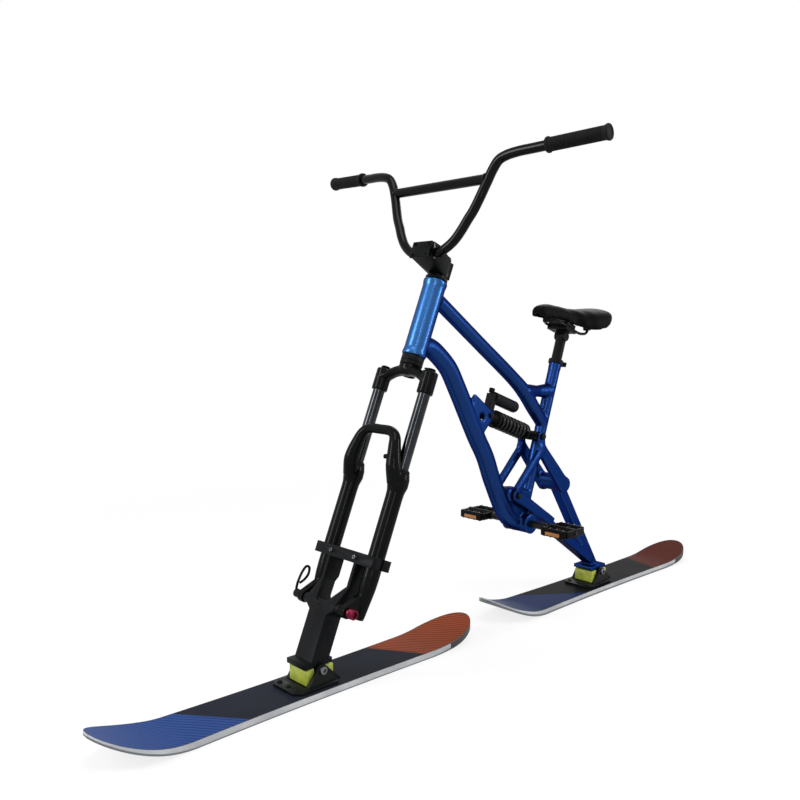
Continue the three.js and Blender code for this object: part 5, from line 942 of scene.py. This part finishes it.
# Black oxide on turned steel: a dark grey metal that looks slightly oiled.
black_oxide, tree, face = material("black_oxide_steel", "#101112", 0.6, 0.36, Specular_IOR_Level=0.2)
grain(tree, face, 700, 0.00003, stretch=(1, 0.1, 1), roughness=(0.3, 0.44), colors=("#0c0d0e", "#17181a"), clouds=60)
spindle = turned("pedal_spindle", [(0.0046, -0.152), (0.005, -0.1514), (0.005, -0.077), (0.008, -0.0768),
                                   (0.008, 0.0768), (0.005, 0.077), (0.005, 0.1514), (0.0046, 0.152)],
                 lying(SHELL, ACROSS), 40)
settle(spindle, black_oxide, "frame", "steel", "peg_spindle")
pin_outline = [(0.0014, 0), (0.0014, 0.0018), (0.0011, 0.0022)]
for name, side in SIDES.items():
    half, deck = PEDAL["half"], PEDAL["deck"]
    inner, outer = sorted((side * PEDAL["near"], side * PEDAL["far"]))
    middle = (inner + outer) / 2
    spans = []
    for fore in (1, -1):
        a, b = sorted((fore * half, fore * (half - PEDAL["rail"])))
        spans.append(((a, inner + PEDAL["rail_inset"], -deck), (b, outer - PEDAL["rail_inset"], deck), 0.0026))
    for edge in (inner, outer - PEDAL["side"]):
        long, high = half - PEDAL["side_inset"], deck - PEDAL["side_step"]
        spans.append(((-long, edge, -high), (long, edge + PEDAL["side"], high), 0.0024))
    long, high = half - PEDAL["rail_inset"], deck - PEDAL["rib_step"]
    spans.append(((-long, middle - PEDAL["rib"], -high), (long, middle + PEDAL["rib"], high), 0.0012))
    cage = [bar_of("rail", low, high, edge) for low, high, edge in spans]
    cage.append(turned("barrel", [(0.009, inner + 0.0005), (0.0096, inner + 0.002), (0.0096, outer - 0.002),
                                  (0.009, outer - 0.0002)], lying((0, 0, 0), ACROSS), 40))
    pins = []
    for fore in (-1, 1):
        for k in range(PEDAL["pins"]):
            for up in (-1, 1):
                at = (fore * (half - PEDAL["rail"] / 2), inner + PEDAL["pin_start"] + PEDAL["pin_pitch"] * k,
                      up * (deck - 0.0006))
                pins.append(turned("pin", pin_outline, lying(at, (0, 0, up)), 10))
    lenses = [bar_of("lens", (fore * half - 0.0012, middle - PEDAL["lens"], -0.006),
                     (fore * half + 0.0012, middle + PEDAL["lens"], 0.0016), 0.0008) for fore in (-1, 1)]
    for piece, finish, slot, nodes in (
            (joined(f"pedal_{name}_platform", cage), moulded, "plastic_black", [f"pedal_{name}"]),
            (joined(f"pedal_{name}_pins", pins), zinc, "steel", []),
            (joined(f"pedal_{name}_reflectors", lenses), amber, "plastic_black", [])):
        piece.data.transform(Matrix.Translation(SHELL))
        settle(piece, finish, f"pedal_{name}", slot, *nodes)


# Saddle: a soft vinyl cover over moulded foam on a nylon shell, held by steel rails in the head of a black
# alloy post, which a clamp with a lever holds in the seat tube.
PAD = {"nose": -0.191, "length": 0.232, "top": 0.676, "thick": 0.009, "crown": 0.55, "ease": 0.35,
       "pressure": 4, "frames": 20, "swell": 0.0022}
# Vinyl embossed like leather: a matt black with pores 1.5 mm wide, drawn about twice as coarse as the real ones.
vinyl, tree, face = material("embossed_black_vinyl", "#040405", 0.0, 0.5, Specular_IOR_Level=0.035)
where = place(tree, "ShaderNodeTexCoord").outputs["Object"]
pores = place(tree, "ShaderNodeTexVoronoi", {"Scale": 650, "feature": "DISTANCE_TO_EDGE"}, {"Vector": where})
emboss = place(tree, "ShaderNodeBump", {"Strength": 0.6, "Distance": 0.00025}, {"Height": pores.outputs["Distance"]})
tree.links.new(emboss.outputs[0], face.inputs["Normal"])
# Along the cover: a share of its length, then its half width, drop and depth in shares of that length.
pad_shares = [(0.0, 0.006, 0.014, 0.03), (0.012, 0.05, -0.006, 0.07), (0.035, 0.072, -0.02, 0.1),
              (0.08, 0.084, -0.03, 0.118), (0.14, 0.09, -0.032, 0.122), (0.3, 0.108, -0.012, 0.12),
              (0.44, 0.146, 0.01, 0.152), (0.58, 0.208, 0.018, 0.196), (0.7, 0.256, 0.014, 0.206),
              (0.8, 0.27, 0.008, 0.194), (0.88, 0.264, 0.005, 0.16), (0.94, 0.24, 0.007, 0.118),
              (0.975, 0.194, 0.016, 0.084), (0.993, 0.118, 0.032, 0.05), (1.0, 0.02, 0.052, 0.024)]


def pad_point(share, angle, inset=0.0):
    """A point on the saddle's skin: a share of its length back from the nose, and an angle round its arch."""
    low = next(k for k in range(len(pad_shares) - 1) if share <= pad_shares[k + 1][0] + 1e-9)
    before, after = pad_shares[low], pad_shares[low + 1]
    t = (share - before[0]) / (after[0] - before[0])
    eased = t * t * (3 - 2 * t) * PAD["ease"] + t * (1 - PAD["ease"])
    half, drop, deep = (PAD["length"] * (before[i] + (after[i] - before[i]) * eased) for i in (1, 2, 3))
    sag = deep * (1 - math.sin(angle) ** PAD["crown"]) if 0 < angle < math.pi else deep
    return Vector((PAD["nose"] - PAD["length"] * share, (half - inset) * math.cos(angle),
                   PAD["top"] - drop - sag - inset))


bare()
bpy.ops.mesh.primitive_grid_add(x_subdivisions=72, y_subdivisions=36, size=1)
pad = bpy.context.object
pad.name = "saddle_pad"
for point in pad.data.vertices:
    point.co = pad_point(0.5 - 0.5 * math.cos(math.pi * (point.co.x + 0.5)), math.pi * (0.5 - point.co.y))
mend(outward=True)
if pad.data.polygons[len(pad.data.polygons) // 2].normal.z < 0:
    pad.data.flip_normals()
shaped(pad, "SOLIDIFY", thickness=PAD["thick"], offset=-1)
pad = fused(pad, 0.0036, 2)
# Foam fills the cover out: a short cloth simulation under pressure, in which no point moves past the swell.
skin = [point.co.copy() for point in pad.data.vertices]
filling = pad.modifiers.new("filling", "CLOTH")
filling.settings.use_pressure = True
filling.settings.uniform_pressure_force = PAD["pressure"]
filling.settings.effector_weights.gravity = 0
for k in range(1, PAD["frames"] + 1):
    bpy.context.scene.frame_set(k)
swollen = pad.evaluated_get(bpy.context.evaluated_depsgraph_get()).to_mesh()
moved = [point.co.copy() for point in swollen.vertices]
pad.modifiers.remove(filling)
for point, start, end in zip(pad.data.vertices, skin, moved):
    point.co = start + (end - start) * min(1, PAD["swell"] / max((end - start).length, 1e-9))
bpy.context.scene.frame_set(1)
shaped(pad, "SUBSURF", levels=1, render_levels=1)
settle(pad, vinyl, "seatpost", "saddle_vinyl", "saddle_cover")
TRAY = {"long_share": 0.88, "wide_share": 0.84, "inset_share": 0.8, "thick": 0.004}
bare()
bpy.ops.mesh.primitive_grid_add(x_subdivisions=40, y_subdivisions=24, size=1)
tray = bpy.context.object
for point in tray.data.vertices:
    point.co = pad_point(0.5 + TRAY["long_share"] * point.co.x, math.pi * (0.5 - TRAY["wide_share"] * point.co.y),
                         PAD["thick"] * TRAY["inset_share"])
shaped(tray, "SOLIDIFY", thickness=TRAY["thick"], offset=0)
rail_low, rail_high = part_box("saddle_rails")
HOLDER = {"long": 0.012, "past_rail": 0.003, "nose_half": 0.011, "nose_drop": 0.009, "nose_top": 0.668,
          "tail_at": 0.0253, "tail_half": 0.007, "tail_drop": 0.0285, "tail_top": 0.655, "edge": 0.002}
holders = [bar_of("nose_holder", (rail_high[0] - HOLDER["long"], -HOLDER["nose_half"],
                                  rail_high[2] - HOLDER["nose_drop"]),
                  (rail_high[0] + HOLDER["past_rail"], HOLDER["nose_half"], HOLDER["nose_top"]), HOLDER["edge"])]
for side in SIDES.values():
    y = side * HOLDER["tail_at"]
    holders.append(bar_of("tail_holder", (rail_low[0] - HOLDER["past_rail"], y - HOLDER["tail_half"],
                                          rail_high[2] - HOLDER["tail_drop"]),
                          (rail_low[0] + HOLDER["long"], y + HOLDER["tail_half"], HOLDER["tail_top"]),
                          HOLDER["edge"]))
settle(fused(joined("saddle_base", [tray, *holders]), 0.0016, 3), moulded, "seatpost", "plastic_black", "saddle_shell")
# Bent, forged and cast pieces are eased all over, and the milled clamp plate only along its edges.
for node, name, size, rounds, finish, body, slot in (
        ("saddle_rails", "saddle_wire_rails", 0.0008, 5, black_oxide, "seatpost", "steel"),
        ("seatpost", "alloy_seatpost", 0.0011, 4, anodised, "seatpost", "satin_black"),
        ("rail_clamp", "rail_clamp_plate", 0.0008, 0, anodised, "seatpost", "satin_black"),
        ("seat_clamp", "seat_clamp_collar", 0.0008, 3, anodised, "frame", "satin_black"),
        ("seat_clamp_lever", "seat_clamp_handle", 0.0006, 3, anodised, "seat_clamp_lever", "satin_black")):
    piece = copied(node, name)
    piece = fused(piece, size, rounds) if rounds else round_edges(piece, size)
    settle(piece, finish, body, slot, node)
